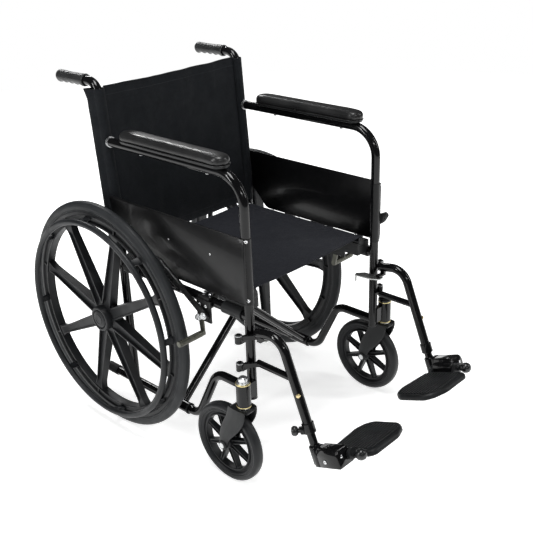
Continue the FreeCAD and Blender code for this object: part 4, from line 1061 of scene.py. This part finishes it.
def resampled(path, count):
    """The path as count evenly spaced points."""
    lengths = [0.0]
    for a, b in zip(path, path[1:]):
        lengths.append(lengths[-1] + (b - a).length)
    result = []
    k = 0
    for i in range(count):
        want = lengths[-1] * i / (count - 1)
        while k < len(path) - 2 and lengths[k + 1] < want:
            k += 1
        span = lengths[k + 1] - lengths[k]
        result.append(path[k].lerp(path[k + 1], (want - lengths[k]) / span if span else 0))
    return result


SEAT_HEM = 25.0
WRAP = TUBE_R + 1.6         # cloth's middle, from the seat rail's axis
WRAP_TURN = 1.35            # radians that the cloth runs round the rail


def seat_surface(low, high, rail_x, rail_z, s, y):
    """A point of the seat cloth: s runs across from -1 to 1 over the two rails."""
    flat = rail_x - 2.0
    across = s * (flat + WRAP * WRAP_TURN)
    front = (y - low.y) / (high.y - low.y)
    if abs(across) > flat:
        angle = (abs(across) - flat) / WRAP
        x = flat + 2.0 + WRAP * math.sin(angle) - 2.0 * (1 - angle / WRAP_TURN)
        z = rail_z + WRAP * math.cos(angle)
        return Vector((math.copysign(x, s), y, z))
    share = across / flat
    sag = 4.5 + 8.0 * abs(math.sin(math.pi * min(1.0, max(0.0, front)))) ** 0.7
    z = rail_z + WRAP - sag * (1 - share ** 2) ** 1.2
    loose = (1 - share ** 4) * math.sin(math.pi * min(1, max(0, front))) ** 0.5
    z += loose * (1.6 * ripple(across, y, 95, 3.1) + 0.7 * ripple(across * 0.35, y, 30, 7.7))
    edge = abs(abs(across) - (flat - SEAT_HEM))
    z += 0.0 if edge > 2.5 else -0.6 * (1 - edge / 2.5)
    return Vector((across, y, z))


def seat_upholstery():
    """Nylon sling over the seat rails: hems along both sides, a folded front edge, screws."""
    low, high = corners("seat_upholstery")
    rail = middle("left_seat_rail")
    columns = 91
    rows = 61
    grid = []
    for i in range(rows):
        y = low.y + (high.y - low.y) * i / (rows - 1)
        row = [seat_surface(low, high, rail.x, rail.z, -1 + 2 * j / (columns - 1), y)
               for j in range(columns)]
        grid.append(row)
    shape = add_sheet(Shape(SEAT_NYLON), grid, 2.2)
    for i, offset in ((0, 1), (rows - 1, -1)):
        edge = [p + Vector((0, 0, -0.3)) for p in grid[i]]
        shape.sweep(edge, [(u, v * 0.8) for u, v in circle(1.9, 10)], up=(0, 0, 1))
        row = grid[i + 5 * offset]
        stitches(shape, [p + Vector((0, 0, 1.15)) for p in row[8:-8]], 5.0)
    for sign in (-1, 1):
        for inset_by in (SEAT_HEM, SEAT_HEM - 5):
            s = sign * (rail.x - 2.0 - inset_by) / (rail.x - 2.0 + WRAP * WRAP_TURN)
            line = [seat_surface(low, high, rail.x, rail.z, s, y) + Vector((0, 0, 1.2))
                    for y in [low.y + 6 + (high.y - low.y - 12) * k / 60 for k in range(61)]]
            stitches(shape, line, 5.0)
    seat = shape.make("seat_sling", sharp=60, replaces=["seat_upholstery"], slot="seat_nylon")
    bpy.context.view_layer.update()
    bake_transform(seat)
    for word, side, arm in (("right", -1, "twin_arm"), ("left", 1, "single_arm")):
        screws = Shape(ZINC)
        for y in (-185, -90, 5, 100, 188):
            screw_head(screws, (side * (rail.x + 0.5), y, rail.z + 13.7), (side * 0.1, 0, 1), 3.6, 1.6)
        screws.make(word + "_seat_screws", arm)
        end = Shape(SADDLE)
        plug = rounded([(-4, 0), (-4, 9), (-2, 11.3), (1, 11.4), (1, 0)], 1.2, 3)
        for y, direction in ((corners(word + "_seat_rail")[0].y, 1), (corners(word + "_seat_rail")[1].y, -1)):
            end.lathe(plug, (side * rail.x, y, rail.z), (0, direction, 0), 32)
        end.make(word + "_seat_rail_plugs", arm)


def cane_line(z):
    """Height to depth along the leaning back canes, with their eased bend."""
    over = z - CANE_BEND_Z
    if over < -CANE_EASE:
        return CANE_Y
    if over > CANE_EASE:
        return CANE_Y + CANE_LEAN * over
    return CANE_Y + CANE_LEAN * (over + CANE_EASE) ** 2 / (4 * CANE_EASE)


def back_sleeve(word, side, low, high):
    """Sewn sleeve round one back cane, closed at its outer rear edge by a flat seam flap."""
    x = side * TUBE_X
    steps = 90
    around = 60
    flap = math.radians(52)
    outer = []
    inner = []
    for i in range(steps + 1):
        z = low.z + 2 + (high.z - 4 - low.z) * i / steps
        y = cane_line(z)
        over = max(0.0, z - (high.z - 26))
        skin = []
        lining = []
        for k in range(around):
            a = 2 * math.pi * k / around
            out = math.cos(a)
            back = math.sin(a)
            crease = 0.4 * ripple(a * 9, z * 0.06, 1.0, 4.0 + side) + 0.3 * ripple(a * 3, z, 40, 9.0)
            tail = max(0.0, math.cos(a - flap)) ** 12
            radius = 12.6 + crease + 3.0 * max(0.0, -out) ** 6 + (18.0 + 0.25 * over) * tail
            skin.append(Vector((x + side * out * radius, y + back * radius, z)))
            near = 11.5 + (15.5 + 0.25 * over) * tail
            lining.append(Vector((x + side * out * near, y + back * near, z)))
        outer.append(skin)
        inner.append(lining)
    shape = Shape(BACK_NYLON_PAINTED_SHADE)
    shape.loft(outer + inner[::-1], closed=True)
    seam = [ring[around // 2 - 2] + Vector((0, -0.5, 0)) for ring in outer]
    edge = [ring[around // 6 - 2] + Vector((0, -0.3, 0)) for ring in outer]
    for line in (seam, edge):
        stitches(shape, line, 5.0)
    sleeve = shape.make(word + "_back_sleeve", word + "_frame", sharp=60, slot="back_nylon")


def back_panel():
    """Slung nylon panel between the sleeves: bowed, softly creased, with a folded top hem."""
    low, high = corners("back_upholstery")
    reach = TUBE_X - 15.5
    columns = 97
    rows = 81
    grid = []
    for i in range(rows):
        t = i / (rows - 1)
        row = []
        for j in range(columns):
            s = -1 + 2 * j / (columns - 1)
            dip = 4.0 * (1 - s * s) + 1.6 * ripple(s * 3, 0, 1, 2.2)
            top = high.z - dip
            z = low.z + (top - low.z) * t
            x = s * reach
            bow = 9.0 * (1 - s * s) * math.sin(math.pi * (0.15 + 0.7 * t))
            fold = (1 - abs(s) ** 5) * (4.6 * ripple(x, z * 0.2, 46, 1.3)
                                        + 1.5 * ripple(x, z * 0.4, 20, 5.1)
                                        + 3.4 * ripple(x, z, 105, 8.3))
            row.append(Vector((x, cane_line(z) + 1.5 + bow + fold, z)))
        grid.append(row)
    shape = add_sheet(Shape(BACK_NYLON_PAINTED_SHADE), grid, 2.4)
    hem = [p + Vector((0, 0, 0.2)) for p in grid[-1]]
    shape.sweep(hem, [(u, v * 0.9) for u, v in circle(2.1, 12)], up=(0, 0, 1))
    for row in (grid[-5], grid[4]):
        stitches(shape, [p + Vector((0, -1.3, 0)) for p in row], 5.0)
    panel = shape.make("back_panel", "right_frame", sharp=60, replaces=["back_upholstery"],
                       slot="back_nylon")
    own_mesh(panel)
    for word, side in SIDES:
        back_sleeve(word, side, low, high)


# ---- Studio ----
FLOOR_RADIUS = 4.5
LAMPS = (              # name, place, width, height, watts
    ("overhead_box", (-0.3, -0.2, 3.2), 0.8, 1.6, 62),
    ("left_box", (-3.2, 0.9, 2.2), 0.28, 2.2, 50),
    ("right_box", (2.4, -2.8, 2.4), 0.25, 2.2, 40),
    ("front_box", (-1.6, -3.4, 2.6), 1.4, 0.22, 28),
    ("rear_box", (1.4, 3.2, 2.8), 1.6, 0.28, 42))


def studio():
    """White sweep that brightens away from the chair, strip lamps and a dim surround."""
    floor = bpy.data.meshes.new("floor")
    rim = [(FLOOR_RADIUS * u, FLOOR_RADIUS * v, 0) for u, v in circle(1.0, 96)]
    floor.from_pydata(rim, [], [tuple(range(len(rim)))])
    finish = Finish("studio_floor", specular=0.1)
    finish.colour((0.86, 0.87, 0.865), (0.88, 0.885, 0.88), 3)
    finish.roughness(0.6, 0.7, 8)
    distance = finish.add("ShaderNodeVectorMath", operation="LENGTH")
    finish.link(finish.coordinates, distance.inputs[0])
    glow = finish.ramp(distance.outputs["Value"], 0.62, 1.0, 0.35, 1.5)
    finish.link(glow, finish.shader.inputs["Emission Strength"])
    finish.shader.inputs["Emission Color"].default_value = (1, 1, 1, 1)
    floor.materials.append(finish.material)
    ground = placed("floor", floor)

    world = bpy.data.worlds.new("surround")
    world.use_nodes = True
    tree = world.node_tree
    dim = tree.nodes["Background"]
    seen = tree.nodes.new("ShaderNodeBackground")
    for shader, strength in ((dim, 0.08), (seen, 1.0)):
        shader.inputs["Color"].default_value = (1, 1, 1, 1)
        shader.inputs["Strength"].default_value = strength
    path = tree.nodes.new("ShaderNodeLightPath")
    mix = tree.nodes.new("ShaderNodeMixShader")
    tree.links.new(path.outputs["Is Camera Ray"], mix.inputs["Fac"])
    tree.links.new(dim.outputs[0], mix.inputs[1])
    tree.links.new(seen.outputs[0], mix.inputs[2])
    tree.links.new(mix.outputs[0], tree.nodes["World Output"].inputs["Surface"])
    scene.world = world

    for name, place, width, height, power in LAMPS:
        light = bpy.data.lights.new(name, "AREA")
        light.shape = "RECTANGLE"
        light.size = width
        light.size_y = height
        light.energy = power
        lamp = placed(name, light)
        lamp.location = place
        aim = Vector((0, 0, 0.45)) - lamp.location
        lamp.rotation_euler = aim.to_track_quat("-Z", "Y").to_euler()
    scene.view_settings.view_transform = "Standard"
    scene.view_settings.look = "None"


VIEW_ANGLES = (-45.94, 24.17, -2.06)      # azimuth, elevation and roll, in degrees
CAMERA_AT = (-1.40175, -1.41574, 1.30209)
LENS = 57.54                              # millimetres on a sensor 36 wide


def camera():
    """Three-quarter view from the occupant's right, a little above the armrests."""
    azimuth, elevation, roll = (math.radians(a) for a in VIEW_ANGLES)
    back = Vector((math.sin(azimuth) * math.cos(elevation), -math.cos(azimuth) * math.cos(elevation),
                   math.sin(elevation)))
    right = Vector((math.cos(azimuth), math.sin(azimuth), 0))
    up = back.cross(right)
    turned_right = right * math.cos(roll) + up * math.sin(roll)
    turned_up = up * math.cos(roll) - right * math.sin(roll)
    lens = bpy.data.cameras.new("camera")
    lens.sensor_width = 36.0
    lens.lens = LENS
    lens.clip_end = 100
    eye = placed("camera", lens)
    basis = Matrix((turned_right, turned_up, back)).transposed().to_4x4()
    eye.matrix_world = Matrix.Translation(CAMERA_AT) @ basis
    scene.camera = eye


for word, side in SIDES:
    rear_wheel(word, side)
    caster_wheel(word, side)
    caster_fork(word)
    caster_trim(word, side)
    frame_trim(word, side)
    skirt_guard(word, side)
    armrest_pad(word)
    push_grip(word)
    footplate(word, side)
    hinge_block(word, side)
    hanger_trim(word, side)
    brake_trim(word, side)
    for part in PRESSED_PARTS:
        bevel(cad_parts["%s_%s" % (word, part)], 0.7, 2, 40)
cross_trim()
seat_upholstery()
back_panel()
studio()
camera()

bpy.context.view_layer.update()
